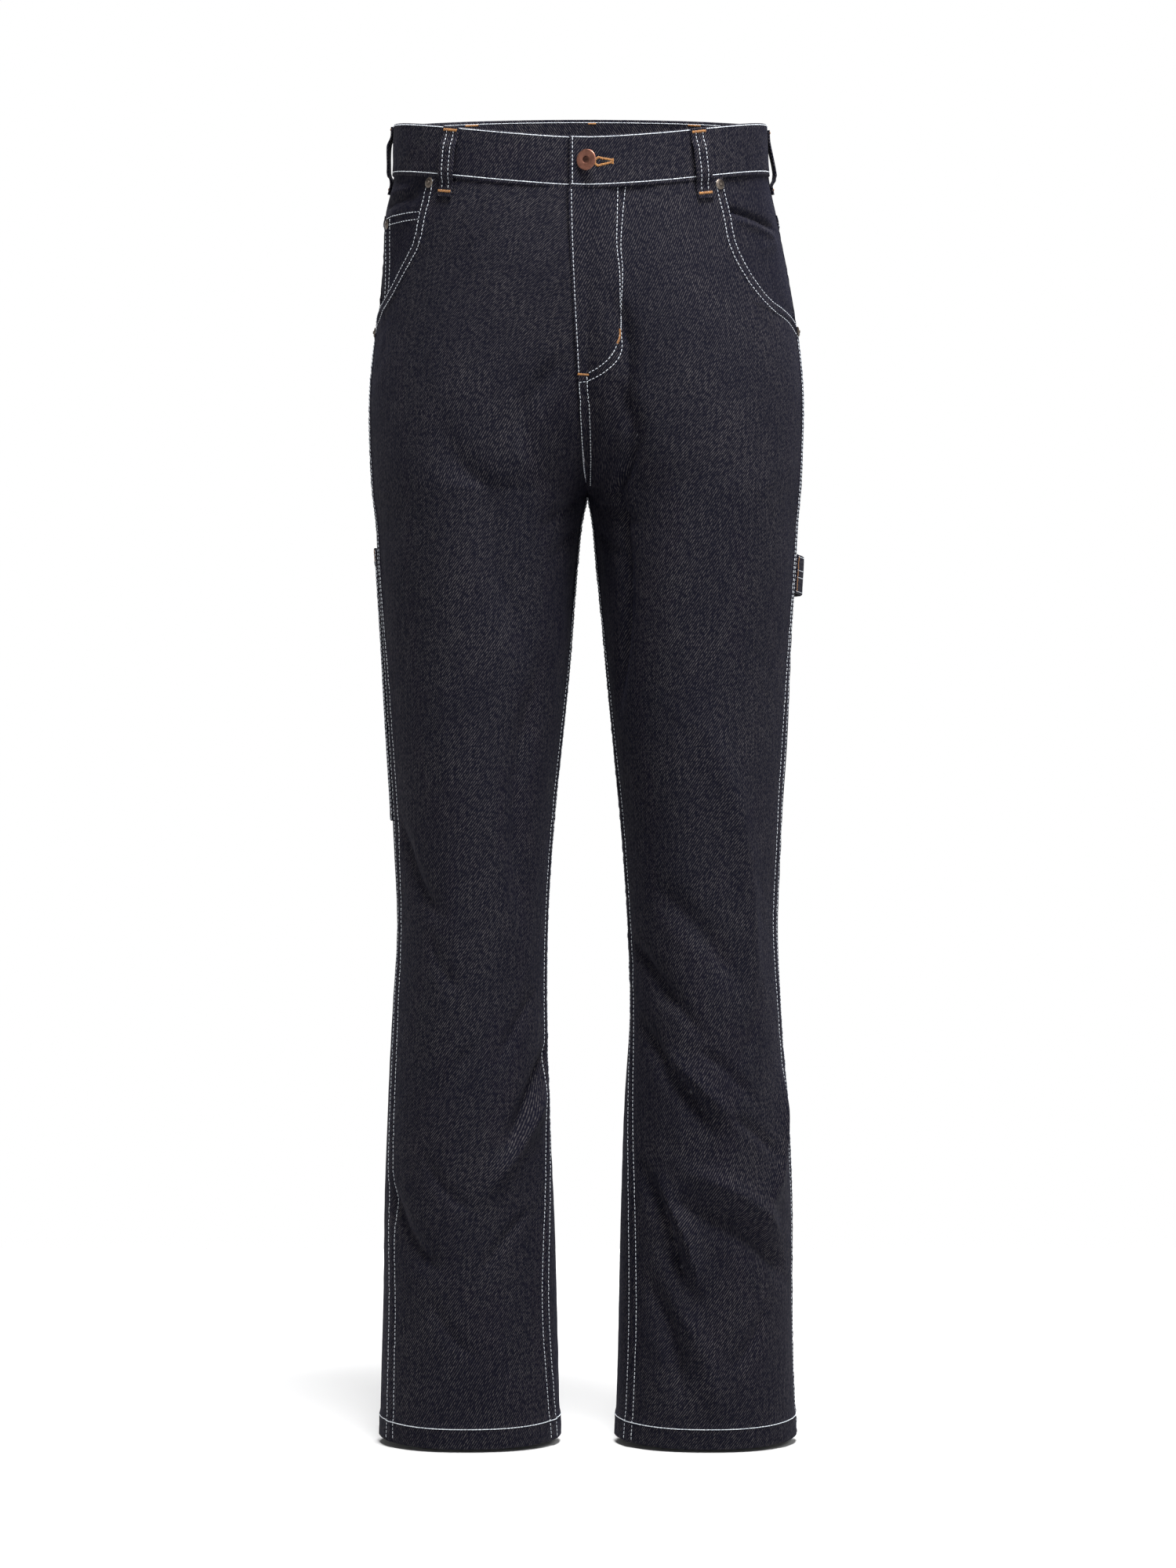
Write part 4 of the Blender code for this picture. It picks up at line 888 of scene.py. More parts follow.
def front_edges(leg, side_level, middle_level):
    """The shares of a front's outer and inner edges."""
    length = girth(leg, side_level)
    outer = seam_share(leg, side_level) - (mouth_width(leg, side_level) + SEAM_GAP / 2) / length
    lap = LAP_PAST(middle_level)
    inseam = np.where(middle_level > CROTCH + TINY, 0, SEAM_GAP / 2)
    if leg == "left":
        inner = np.where(lap > SEAM_GAP, -lap, inseam)
    else:
        under = np.clip(2 * (lap - UNDERLAP_STARTS), 0, UNDERLAP)
        inner = np.where(lap > SEAM_GAP, lap + SEAM_GAP - under, inseam)
    return outer, inner / girth(leg, middle_level)


def back_edges(leg, side_level, middle_level):
    side = seam_share(leg, side_level) + SEAM_GAP / 2 / girth(leg, side_level)
    inseam = np.where(middle_level <= CROTCH + TINY, SEAM_GAP / 2, 0)
    return side, 1 - inseam / girth(leg, middle_level)


def front_relief(leg, share, level):
    """What seams, laps and puckers add to a front."""
    around = girth(leg, level)
    outer, inner = front_edges(leg, level, level)
    slope = np.gradient(mouth_width(leg, SLOPE_LEVELS), SLOPE_LEVELS)
    steep = np.interp(-level, -SLOPE_LEVELS, slope)
    in_mouth = ease(level, POCKET_END, POCKET_END + 12 * MM)
    from_outer = (outer - share) * around / np.sqrt(1 + (steep * in_mouth) ** 2)
    seed = SEEDS["front"][leg]
    height = raised_strip(from_outer, SEAM_STRIP, SEAM_RAISE)
    height += puckers(level - 0.6 * mouth_width(leg, level), from_outer - 5 * MM, seed)
    from_inner = (share - inner) * around
    below = level <= CROTCH
    height += np.where(below, raised_strip(from_inner, SEAM_STRIP, SEAM_RAISE), 0)
    height += np.where(below, puckers(level, from_inner - 5 * MM, seed + 1), 0)
    if leg == "left":
        edge = np.where(below, 0, raised_strip(from_inner, SEAM_STRIP, 0.5 * SEAM_RAISE))
        lap = LAP_PAST(level)
        lift = LAP_LIFT * ease(lap, 0.5 * MM, LAP_TAPER)
        lift = lift * (1 - ease(from_inner, LAP_EASES_FROM, LAP_EASES_TO))
        height += np.where(below, 0, edge + lift)
        height += np.where(below, 0, puckers(level, from_inner - 3 * MM, seed + 2, 8 * MM, 0.3 * MM))
    return height + hem_relief(leg, share, level)


def back_relief(leg, share, level):
    """What seams and puckers add to a back."""
    around = girth(leg, level)
    side, inner = back_edges(leg, level, level)
    seed = SEEDS["back"][leg]
    from_side = (share - side) * around
    from_inner = (inner - share) * around
    height = puckers(level, from_side, seed, 9 * MM) + puckers(level, from_inner, seed + 1, 9 * MM)
    if leg == "left":
        height += np.where(level > CROTCH, raised_strip(from_inner, SEAM_STRIP, SEAM_RAISE), 0)
    across = np.clip(from_side / np.maximum((inner - side) * around, TINY), 0, 1)
    below_yoke = yoke_level(across) - level
    height += puckers(from_side, below_yoke - 4 * MM, seed + 2, 9 * MM, 0.3 * MM)
    height += raised_strip(below_yoke, SEAM_STRIP, SEAM_RAISE)
    return height + hem_relief(leg, share, level)


def yoke_level(across):
    """The yoke seam's level, where across runs from 0 at the side seam to 1 at the middle."""
    return BAND_BOTTOM - YOKE_SIDE - (YOKE_MIDDLE - YOKE_SIDE) * across


def no_relief(leg, share, level):
    return np.zeros(share.shape)


RELIEF = {"front": front_relief, "back": back_relief, "yoke": no_relief, "plain": no_relief}


def cloth_points(face, leg, share, level, offset=0.0):
    """Points of the folded cloth, moved out by the offset."""
    share, level, offset = np.broadcast_arrays(share, level, offset)
    shape = share.shape
    share = np.array(share, float).ravel()
    level = np.array(level, float).ravel()
    height = np.array(offset, float).ravel() + fold_height(leg, share, level) + drape(leg, share, level)
    height += RELIEF[face](leg, share, level)
    points, normals = smooth_surface(leg, share, level)
    return (points + normals * height[:, None]).reshape(*shape, 3)


def middle_levels(face, top, count):
    """Levels down the middle seam to the crotch, spaced evenly along the seam's own curve."""
    levels = CROTCH + (top - CROTCH) * np.linspace(1, 0, 240) ** 2
    points, _ = smooth_surface("left", np.full(240, 0.0 if face == "front" else 1.0), levels)
    run = run_lengths(points)
    return np.interp(np.linspace(0, run[-1], count), run, levels)


def run_lengths(line):
    return np.concatenate([[0], np.cumsum(np.linalg.norm(np.diff(line, axis=0), axis=1))])


def spread(count, crowd=CROWDED):
    """Shares from 0 to 1, closer together towards both ends."""
    even = np.linspace(0, 1, count + 1)
    return even - crowd * np.sin(2 * math.pi * even) / (2 * math.pi)


class Panel:
    """A front or back. A place on it is a part row, as the solids count them, and a share across."""

    def __init__(self, face, leg):
        self.face = face
        self.leg = leg
        below = np.linspace(CROTCH, HEM, LEG_ROWS + 1)[1:]
        side_crotch = CROTCH - SIDE_DROP
        if face == "front":
            top_side = top_middle = SEWN_IN_TOP
            levels = [top_side, *(level * MM for level in POCKET_ROW_LEVELS)]
            rest = np.linspace(POCKET_END, side_crotch, RISE_ROWS - len(POCKET_ROW_LEVELS) + 1)[1:]
            side = np.concatenate([levels, rest])
        else:
            top_side, top_middle = yoke_level(0.0) - SEAM_GAP, yoke_level(1.0) - SEAM_GAP
            side = np.linspace(top_side, side_crotch, RISE_ROWS + 1)
        self.middle = np.concatenate([middle_levels(face, top_middle, RISE_ROWS + 1), below])
        self.side = np.concatenate([side, np.linspace(side_crotch, HEM, LEG_ROWS + 1)[1:]])
        self.rows = np.arange(len(self.side))

    def place(self, row, across):
        """The share of the way round and the level."""
        row, across = np.broadcast_arrays(np.asarray(row, float), np.asarray(across, float))
        side = np.interp(row, self.rows, self.side)
        middle = np.interp(row, self.rows, self.middle)
        level = side + (middle - side) * across**2
        if self.face == "back":
            top = self.side[0] + (self.middle[0] - self.side[0]) * across**2
            level = level + (yoke_level(across) - SEAM_GAP - top) * np.clip(1 - row / RISE_ROWS, 0, 1)
        edges = front_edges if self.face == "front" else back_edges
        first, last = edges(self.leg, side, middle)
        return first + (last - first) * across, level

    def row_for_level(self, level):
        """The row that reaches the side seam at this level."""
        return np.interp(-np.asarray(level), -self.side, self.rows)

    def run_along(self, row, across):
        """The lengths run so far through these places on the smooth surface."""
        return run_lengths(smooth_surface(self.leg, *self.place(row, across))[0])

    def across_at(self, row, distance):
        """The share across at this distance along a row from the side seam."""
        across = np.linspace(0, 1, ROW_SAMPLES)
        return np.interp(distance, self.run_along(row, across), across)

    def row_length(self, row):
        return self.run_along(row, np.linspace(0, 1, ROW_SAMPLES))[-1]

    def row_at(self, across, distance):
        """The row at this distance down from the panel's top."""
        rows = np.linspace(0, self.rows[-1], 1200)
        return float(np.interp(distance, self.run_along(rows, across), rows))


def grain(leg, face, share, level):
    """Places on the cloth in metres, across and along its grain, for the weave. The grain runs down the
    middle of a leg, and above the crotch it stays as far from the side seam as it is there."""
    middle = {"front": 0.24, "back": 0.75}[face]
    low = np.minimum(level, CROTCH - TINY)
    to_middle = (seam_share(leg, low) - middle) * girth(leg, low)
    from_seam = (share - seam_share(leg, level)) * girth(leg, level)
    return np.stack([LEGS[leg] * (from_seam + to_middle), level], axis=-1)


def add_mesh(name, points, faces, uv, slots, materials, smooth_angle=45):
    """An object from points and faces, right side out, with a place on the cloth for each point."""
    mesh = bpy.data.meshes.new(name)
    mesh.from_pydata(points.tolist(), [], faces)
    mesh.update()
    mesh.calc_loop_triangles()
    corners = np.empty(len(mesh.loop_triangles) * 3, np.int32)
    mesh.loop_triangles.foreach_get("vertices", corners)
    a, b, c = (points[corners.reshape(-1, 3)[:, k]] for k in range(3))
    if (a * np.cross(b, c)).sum() < 0:
        mesh.flip_normals()
    mesh.shade_smooth()
    mesh.set_sharp_from_angle(angle=math.radians(smooth_angle))
    layer = mesh.uv_layers.new(name="grain")
    loops = np.empty(len(mesh.loops), np.int32)
    mesh.loops.foreach_get("vertex_index", loops)
    layer.data.foreach_set("uv", np.asarray(uv, np.float32)[loops].ravel())
    for one in materials:
        mesh.materials.append(one)
    mesh.polygons.foreach_set("material_index", np.asarray(slots, np.int32))
    made = bpy.data.objects.new(name, mesh)
    bpy.context.scene.collection.objects.link(made)
    return made


def coarse(count, step):
    """Every so many of a grid's lines, with the last one."""
    kept = list(range(0, count - 1, step))
    return kept + [count - 1]


def dress(piece, node):
    """Puts a finished piece in place of its solid."""
    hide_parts(node)
    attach(piece, "root")


def cloth_piece(node, outer, inner, uv, materials=("denim", "denim"), row_step=2):
    """A closed cloth wall in place of its solid. Its inner face keeps only some of the outer face's rows
    and columns."""
    rows, columns = outer.shape[:2]
    kept_rows, kept_columns = coarse(rows, row_step), coarse(columns, 2)
    index = np.arange(rows * columns).reshape(rows, columns)
    inside = np.arange(len(kept_rows) * len(kept_columns)).reshape(len(kept_rows), -1) + rows * columns
    faces = np.stack([index[:-1, :-1], index[1:, :-1], index[1:, 1:], index[:-1, 1:]], axis=-1)
    faces = faces.reshape(-1, 4).tolist()
    outer_count = len(faces)
    lining = np.stack([inside[:-1, :-1], inside[:-1, 1:], inside[1:, 1:], inside[1:, :-1]], axis=-1)
    faces += lining.reshape(-1, 4).tolist()
    lining_count = len(faces) - outer_count
    for edge, inner_edge, kept in (
        (index[0], inside[0], kept_columns),
        (index[-1][::-1], inside[-1][::-1], [columns - 1 - k for k in kept_columns][::-1]),
        (index[:, -1], inside[:, -1], kept_rows),
        (index[:, 0][::-1], inside[:, 0][::-1], [rows - 1 - k for k in kept_rows][::-1]),
    ):
        for here, (start, end) in enumerate(zip(kept, kept[1:])):
            faces.append([*edge[start : end + 1].tolist(), int(inner_edge[here + 1]), int(inner_edge[here])])
    points = np.concatenate([outer.reshape(-1, 3), inner[np.ix_(kept_rows, kept_columns)].reshape(-1, 3)])
    both = np.concatenate([uv.reshape(-1, 2), uv[np.ix_(kept_rows, kept_columns)].reshape(-1, 2)])
    slots = np.zeros(len(faces))
    slots[outer_count : outer_count + lining_count] = 1
    materials = [MATERIALS[name] for name in materials]
    piece = add_mesh(node + "_cloth", points, faces, both, slots, materials)
    dress(piece, node)


def wall_with_hem(level):
    """The cloth is double where the hem is turned up inside."""
    return CLOTH + LAYER * ease(-level, -HEM - HEM_DEPTH - 3 * MM, -HEM - HEM_DEPTH)


def panel_piece(face, leg):
    panel = Panel(face, leg)
    levels = np.arange(panel.side[0], HEM, -PANEL_ROW_SPACING)
    rows = np.unique(np.concatenate([panel.row_for_level(levels), [RISE_ROWS, panel.rows[-1]]]))
    row, across = np.meshgrid(rows, spread(PANEL_COLUMNS), indexing="ij")
    share, level = panel.place(row, across)
    outer = cloth_points(face, leg, share, level)
    deeper = LINING_DEEPER * np.sqrt(np.sin(math.pi * across))
    inner = cloth_points(face, leg, share, level, -wall_with_hem(level) - 0.3 * MM - deeper)
    uv = grain(leg, face, share, level)
    cloth_piece(f"{face}_{leg}", outer, inner, uv, ("denim", "denim_inside"))
    return panel


def yoke_piece(leg):
    down, across = np.meshgrid(*map(spread, YOKE_GRID), indexing="ij")
    level = SEWN_IN_TOP + (yoke_level(across) - SEWN_IN_TOP) * down
    side, inner = back_edges(leg, level[:, :1], level[:, -1:])
    share = side + (inner - side) * across
    around = girth(leg, level)
    seed = SEEDS["yoke"][leg]
    ripple = puckers(share * around, level - yoke_level(across), seed, 8 * MM)
    ripple += puckers(share * around, YOKE_TOP - level, seed, 8 * MM)
    if leg == "left":
        ripple += raised_strip((inner - share) * around, SEAM_STRIP, SEAM_RAISE)
    outer = cloth_points("yoke", leg, share, level, ripple)
    inner_face = cloth_points("yoke", leg, share, level, ripple - CLOTH)
    uv = grain(leg, "back", share, level)
    cloth_piece(f"yoke_{leg}", outer, inner_face, uv, ("denim", "denim_inside"))


def facing_share(leg, across, level):
    """The share of the way round at a distance forward from the side seam."""
    return seam_share(leg, level) - (across + SEAM_GAP / 2) / girth(leg, level)


def facing_points(leg, across, level, offset=0.0):
    """Points of the cloth in the pocket's mouth, which runs on under the front's edge."""
    share = facing_share(leg, across, level)
    under = SEAM_GAP + (CLOTH + PATCH_GAP if leg == "right" else 0)
    from_mouth = mouth_width(leg, level) - across
    come_up = ease(from_mouth, FACING_RISES_FROM, FACING_RISES_TO)
    depth = (CLOTH + under) * (1 - come_up) + 0.25 * LAYER * come_up
    height = np.zeros(share.shape)
    for name, across_0, level_0, across_1, level_1, reach, deep in FACING_CREASES:
        if name != leg:
            continue
        here, down = across - across_0 * MM, level - level_0 * MM
        dx, dz = (across_1 - across_0) * MM, (level_1 - level_0) * MM
        height += deep * MM * crease(here, down, dx, dz, reach * MM, CREASE_SHARPNESS, FACING_FADES)
    at_mouth = np.where(height > 0, ease(from_mouth, 0, 9 * MM), ease(from_mouth, -1 * MM, 2 * MM))
    height = height * at_mouth
    shown = cloth_points("plain", leg, share, level, -depth + height + offset)
    tucked = cloth_points("front", leg, share, level, -CLOTH - under + offset - SEAM_RAISE)
    return np.where((from_mouth > 0)[..., None], shown, tucked)


def facing_grid(leg, across_0, across_1, level_0, level_1, size):
    """A grid on the facing. Across runs from one distance to another, counted from the seam and, for the
    second one, from the mouth's edge."""
    columns, rows = size
    level = np.linspace(level_0, level_1, rows + 1)[:, None] * np.ones(columns + 1)
    reach = np.maximum(mouth_width(leg, level), FACING_LEAST_WIDTH) + across_1
    across = across_0 + (reach - across_0) * spread(columns, 0.3)
    return across, level


def facing_cloth(node, leg, across, level, lift):
    """A cloth on the facing's own surface, with its back lifted off that surface."""
    outer = facing_points(leg, across, level, lift + CLOTH)
    inner = facing_points(leg, across, level, lift)
    uv = grain(leg, "front", facing_share(leg, across, level), level)
    cloth_piece(node, outer, inner, uv, ("facing", "facing"))


def pocket_facing(leg):
    across, level = facing_grid(leg, 0.0, TUCKED_UNDER, SEWN_IN_TOP, POCKET_END, FACING_GRID)
    facing_cloth(f"pocket_facing_{leg}", leg, across, level, -CLOTH)


def coin_top(across):
    """The level of the coin pocket's top edge, which rises towards the front."""
    return COIN_POCKET_TOP + COIN_POCKET_SLOPE * (across - COIN_POCKET_FROM_SEAM)


def coin_lift(across, level):
    """How far the coin pocket's back stands off the facing: most at its top edge, away from its ends."""
    below_top = coin_top(across) - level
    from_seam = across - COIN_POCKET_FROM_SEAM
    gape = COIN_POCKET_GAPE * (1 - ease(below_top, 0, 16 * MM)) * ease(from_seam, 2 * MM, 18 * MM)
    gape = gape * ease(mouth_width("right", level) - across, 0, 14 * MM)
    return PATCH_GAP + gape + rounded_edge(from_seam)


def coin_pocket():
    """The small patch on the right facing. Its top edge stands off a little."""
    foot = COIN_POCKET_TOP - COIN_POCKET_HEIGHT
    reach = TUCKED_UNDER - 2 * MM
    across, level = facing_grid(
        "right", COIN_POCKET_FROM_SEAM, reach, COIN_POCKET_TOP, foot, COIN_POCKET_GRID
    )
    level = foot + (level - foot) * (coin_top(across) - foot) / COIN_POCKET_HEIGHT
    lift = coin_lift(across, level)
    facing_cloth("coin_pocket", "right", across, level, lift)


def rounded_edge(distance):
    """Cloth dips a little at a turned edge."""
    return -0.3 * CLOTH * (1 - ease(distance, 0, 1.0 * MM))


def patch(name, panel, left, right, top, foot, size, flat, gape):
    """A patch pocket on a panel, between part rows and shares across. Gives back a function that finds
    places on it, with the height of its face, from shares across and down."""

    def at(across, down):
        across, down = np.asarray(across, float), np.asarray(down, float)
        row = top + (foot(across) - top) * down
        share, level = panel.place(row, left(row) + (right(row) - left(row)) * across)
        from_side = np.minimum(across, 1 - across) * flat[0]
        from_foot = (1 - down) * flat[1]
        from_edge = np.minimum(from_side, from_foot)
        along = np.where(from_side < from_foot, down * flat[1], across * flat[0])
        lift = PATCH_GAP + rounded_edge(from_edge)
        lift = lift + puckers(along, from_edge - 5 * MM, PATCH_SEED, 9 * MM, 0.25 * MM)
        lift = lift + gape * (1 - ease(down * flat[1], 0, 22 * MM)) * np.sin(math.pi * across) ** 2
        return share, level, lift + CLOTH + 0.5 * MM * (1 - ease(down * flat[1], 13 * MM, 15 * MM))

    across, down = np.meshgrid(*map(spread, size), indexing="xy")
    share, level, lift = at(across, down)
    outer = cloth_points("back", panel.leg, share, level, lift)
    inner = cloth_points("back", panel.leg, share, level, lift - CLOTH)
    uv = grain(panel.leg, "back", share, level)
    cloth_piece(name, outer, inner, uv, ("denim", "denim_inside"))
    return at


def edge_line(panel, rows, distances):
    """A function that gives the share across at a part row, from distances round from the side seam."""
    shares = [float(panel.across_at(row, distance)) for row, distance in zip(rows, distances)]
    return lambda row: np.interp(row, rows, shares)


def back_pocket(panel):
    """A patch pocket with a pointed foot."""
    downs = np.cumsum([BACK_POCKET_BELOW_YOKE, BACK_POCKET_HEIGHT, BACK_POCKET_POINT])
    top, corner, point = (panel.row_at(0.5, down) for down in downs)
    rows = np.linspace(top, point, 40)
    half = BACK_POCKET_WIDTH / 2 - BACK_POCKET_NARROWING * (rows - top) / (corner - top)
    length = np.array([panel.row_length(row) for row in rows])
    centre = length - BACK_POCKET_FROM_MIDDLE - BACK_POCKET_WIDTH / 2
    return patch(
        "back_pocket_" + panel.leg,
        panel,
        edge_line(panel, rows, centre - half),
        edge_line(panel, rows, centre + half),
        top,
        lambda across: corner + (point - corner) * (1 - np.abs(2 * across - 1)),
        BACK_POCKET_GRID,
        (BACK_POCKET_WIDTH, BACK_POCKET_HEIGHT + BACK_POCKET_POINT),
        gape=1.2 * MM,
    )


def tool_pocket(panel):
    """The long narrow patch behind the right side seam."""
    top = panel.row_at(0, TOOL_POCKET_DOWN)
    foot = panel.row_at(0, TOOL_POCKET_DOWN + TOOL_POCKET_HEIGHT)
    rows = np.linspace(top, foot, 30)
    return patch(
        "tool_pocket",
        panel,
        edge_line(panel, rows, np.full(30, 1.0 * MM)),
        edge_line(panel, rows, np.full(30, TOOL_POCKET_WIDTH)),
        top,
        lambda across: foot,
        TOOL_POCKET_GRID,
        (TOOL_POCKET_WIDTH, TOOL_POCKET_HEIGHT),
        gape=0.8 * MM,
    )


def hammer_place(panel, run, across):
    """A place on the hammer loop: how far along it, and a share of the way down it, with its lift."""
    top = panel.row_at(0, HAMMER_LOOP_DOWN)
    foot = panel.row_at(0, HAMMER_LOOP_DOWN + HAMMER_LOOP_WIDTH)
    row = top + (foot - top) * across
    places = np.linspace(0, HAMMER_LOOP_RUN, 25)
    place = np.interp(run, places, panel.across_at(top, 1.0 * MM + places))
    leave = ease(run, HAMMER_LOOP_SEATED, 5 * HAMMER_LOOP_SEATED)
    arrive = ease(HAMMER_LOOP_RUN - run, HAMMER_LOOP_SEATED, 5 * HAMMER_LOOP_SEATED)
    lift = SEAM_GAP + HAMMER_LOOP_STAND_OFF * np.minimum(leave, arrive)
    share, level = panel.place(row, place)
    return share, level, lift


def hammer_loop(panel):
    """A strap from the left side seam round to the back of the thigh, standing off in the middle."""
    rows, columns = HAMMER_LOOP_GRID
    across, run = np.meshgrid(spread(rows), spread(columns, 0.3), indexing="ij")
    run = run * HAMMER_LOOP_RUN
    share, level, lift = hammer_place(panel, run, across)
    edge = np.minimum(across, 1 - across) * HAMMER_LOOP_WIDTH
    roll = 0.45 * LOOP_WALL * (1 - ease(edge, 0, 1.2 * MM)) ** 2
    ripple = puckers(run, edge - 2.5 * MM, HAMMER_LOOP_SEED, 4 * MM, 0.2 * MM)
    outer = cloth_points("back", "left", share, level, lift + LOOP_WALL - roll + ripple)
    inner = cloth_points("back", "left", share, level, lift + roll)
    uv = np.stack([level, run], axis=-1)
    cloth_piece("hammer_loop", outer, inner, uv)


def band_offset(leg, distance):
    """How far the band steps out or in where its ends lap."""
    lapped = BAND_END[OTHER[leg]]
    return LEGS[leg] * BAND_END_STEP * (1 - ease(distance, lapped + 4 * MM, lapped + 38 * MM))


def band_points(leg, distance, level, face):
    """Points on the band: distance round from the middle front, and face 1 outside or -1 inside."""
    distance, level = np.broadcast_arrays(np.asarray(distance, float), np.asarray(level, float))
    share = distance / girth(leg, 0.0)
    edge = BAND_HEIGHT / 2 - np.abs(level)
    edge = np.minimum(edge, distance + BAND_END[leg])
    round_off = np.sqrt(np.clip(1 - (1 - np.clip(edge / BAND_EDGE_ROUND, 0, 1)) ** 2, 0.04, 1))
    seed = SEEDS["band"][leg]
    upper, lower = BAND_TOP - BAND_ROW_TOP, BAND_BOTTOM + BAND_ROW_FOOT
    ripple = puckers(distance, level - upper, seed, 5 * MM, 0.28 * MM)
    ripple += puckers(distance, level - lower, seed + 1, 7 * MM, 0.36 * MM)
    sewn = sum(np.exp(-(((level - row) / (1.1 * MM)) ** 2)) for row in (upper, lower))
    face_height = face * (BAND_WALL / 2 * round_off - BAND_ROW_SUNK * sewn) + ripple
    return cloth_points("plain", leg, share, level, band_offset(leg, distance) + face_height)


def waistband():
    """One doubled strip all round: its left end laps over its right end at the fly."""
    level = BAND_HEIGHT * (0.5 - spread(BAND_ROWS, 0.6))[:, None]
    grids = {1.0: [], -1.0: []}
    flats = []
    for leg, end in BAND_END.items():
        length = float(girth(leg, 0.0))
        steps = round((length + end) / BAND_COLUMN_SPACING)
        distance = -end + (length + end) * spread(steps, 0.0)
        distance[1] = -end + 0.5 * MM
        for face, parts in grids.items():
            points = band_points(leg, distance[None, :], level, face)
            parts.append(points[:, :-1] if leg == "right" else points[:, ::-1])
        uv = np.stack(np.broadcast_arrays(LEGS[leg] * distance[None, :], level), axis=-1)
        flats.append(uv[:, :-1] if leg == "right" else uv[:, ::-1])
    outer, inner = (np.concatenate(grids[face], axis=1) for face in (1.0, -1.0))
    uv = np.concatenate(flats, axis=1)
    total = float(girth("left", 0.0) + girth("right", 0.0)) + sum(BAND_END.values())
    cloth_piece("waistband", outer, inner, uv, row_step=1)


def loop_share(leg, face, across):
    """The share of the way round where the front, side or back is that far from its middle."""
    shares = np.linspace(0, 1, 801)
    points, _ = smooth_surface(leg, shares, np.zeros(801))
    x = np.abs(points[:, 0])
    outermost = int(x.argmax())
    if face == "side":
        return shares[outermost] + across / float(girth(leg, 0.0))
    if face == "front":
        return float(np.interp(across, x[: outermost + 1], shares[: outermost + 1]))
    return float(np.interp(across, x[outermost:][::-1], shares[outermost:][::-1]))


def loop_points(loop, down, sideways, extra):
    """Points on a belt loop: a share of the way down, a distance sideways and a height above its back."""
    top = BAND_TOP - loop.below_edge * MM
    down, sideways, extra = np.broadcast_arrays(
        np.asarray(down, float), np.asarray(sideways, float), np.asarray(extra, float)
    )
    level = top + (BAND_BOTTOM - LOOP_BELOW_BAND - top) * down
    bow = ease(down, LOOP_SEATED, loop.full_from) * (1 - ease(down, loop.full_to, 1 - LOOP_SEATED))
    on_band = BAND_WALL / 2 * ease(level, BAND_BOTTOM - 2 * MM, BAND_BOTTOM)
    lift = on_band + LOOP_GAP + loop.stand_off * MM * bow + extra
    if loop.face != "middle":
        place = loop_share(loop.leg, loop.face, loop.across * MM)
        share = place + (loop.lean * MM * down + sideways) / girth(loop.leg, level)
        return cloth_points("plain", loop.leg, share, level, lift)
    points = np.zeros((*level.shape, 3))
    for side, chosen in (("right", sideways < 0), ("left", sideways >= 0)):
        share = 1 - np.abs(sideways) / girth(side, level)
        made = cloth_points("plain", side, share, level, lift)
        points[chosen] = made[chosen]
    return points


def belt_loop(loop):
    """A belt loop: a flat tube of cloth with its edges turned in, sewn down at both ends."""
    rows, columns = BELT_LOOP_GRID
    down, across = np.meshgrid(spread(rows, 0.4), spread(columns), indexing="ij")
    sideways = (across - 0.5) * LOOP_WIDTH
    edge = np.minimum(across, 1 - across) * LOOP_WIDTH
    roll = 0.42 * LOOP_WALL * (1 - ease(edge, 0, 1.3 * MM)) ** 2
    hollow = -0.25 * MM * np.exp(-(((edge - 4.2 * MM) / (0.9 * MM)) ** 2))
    outer = loop_points(loop, down, sideways, LOOP_WALL - roll + hollow)
    inner = loop_points(loop, down, sideways, roll)
    length = BAND_HEIGHT + LOOP_BELOW_BAND
    uv = np.stack([sideways, -down * length], axis=-1)
    cloth_piece(loop.name, outer, inner, uv)


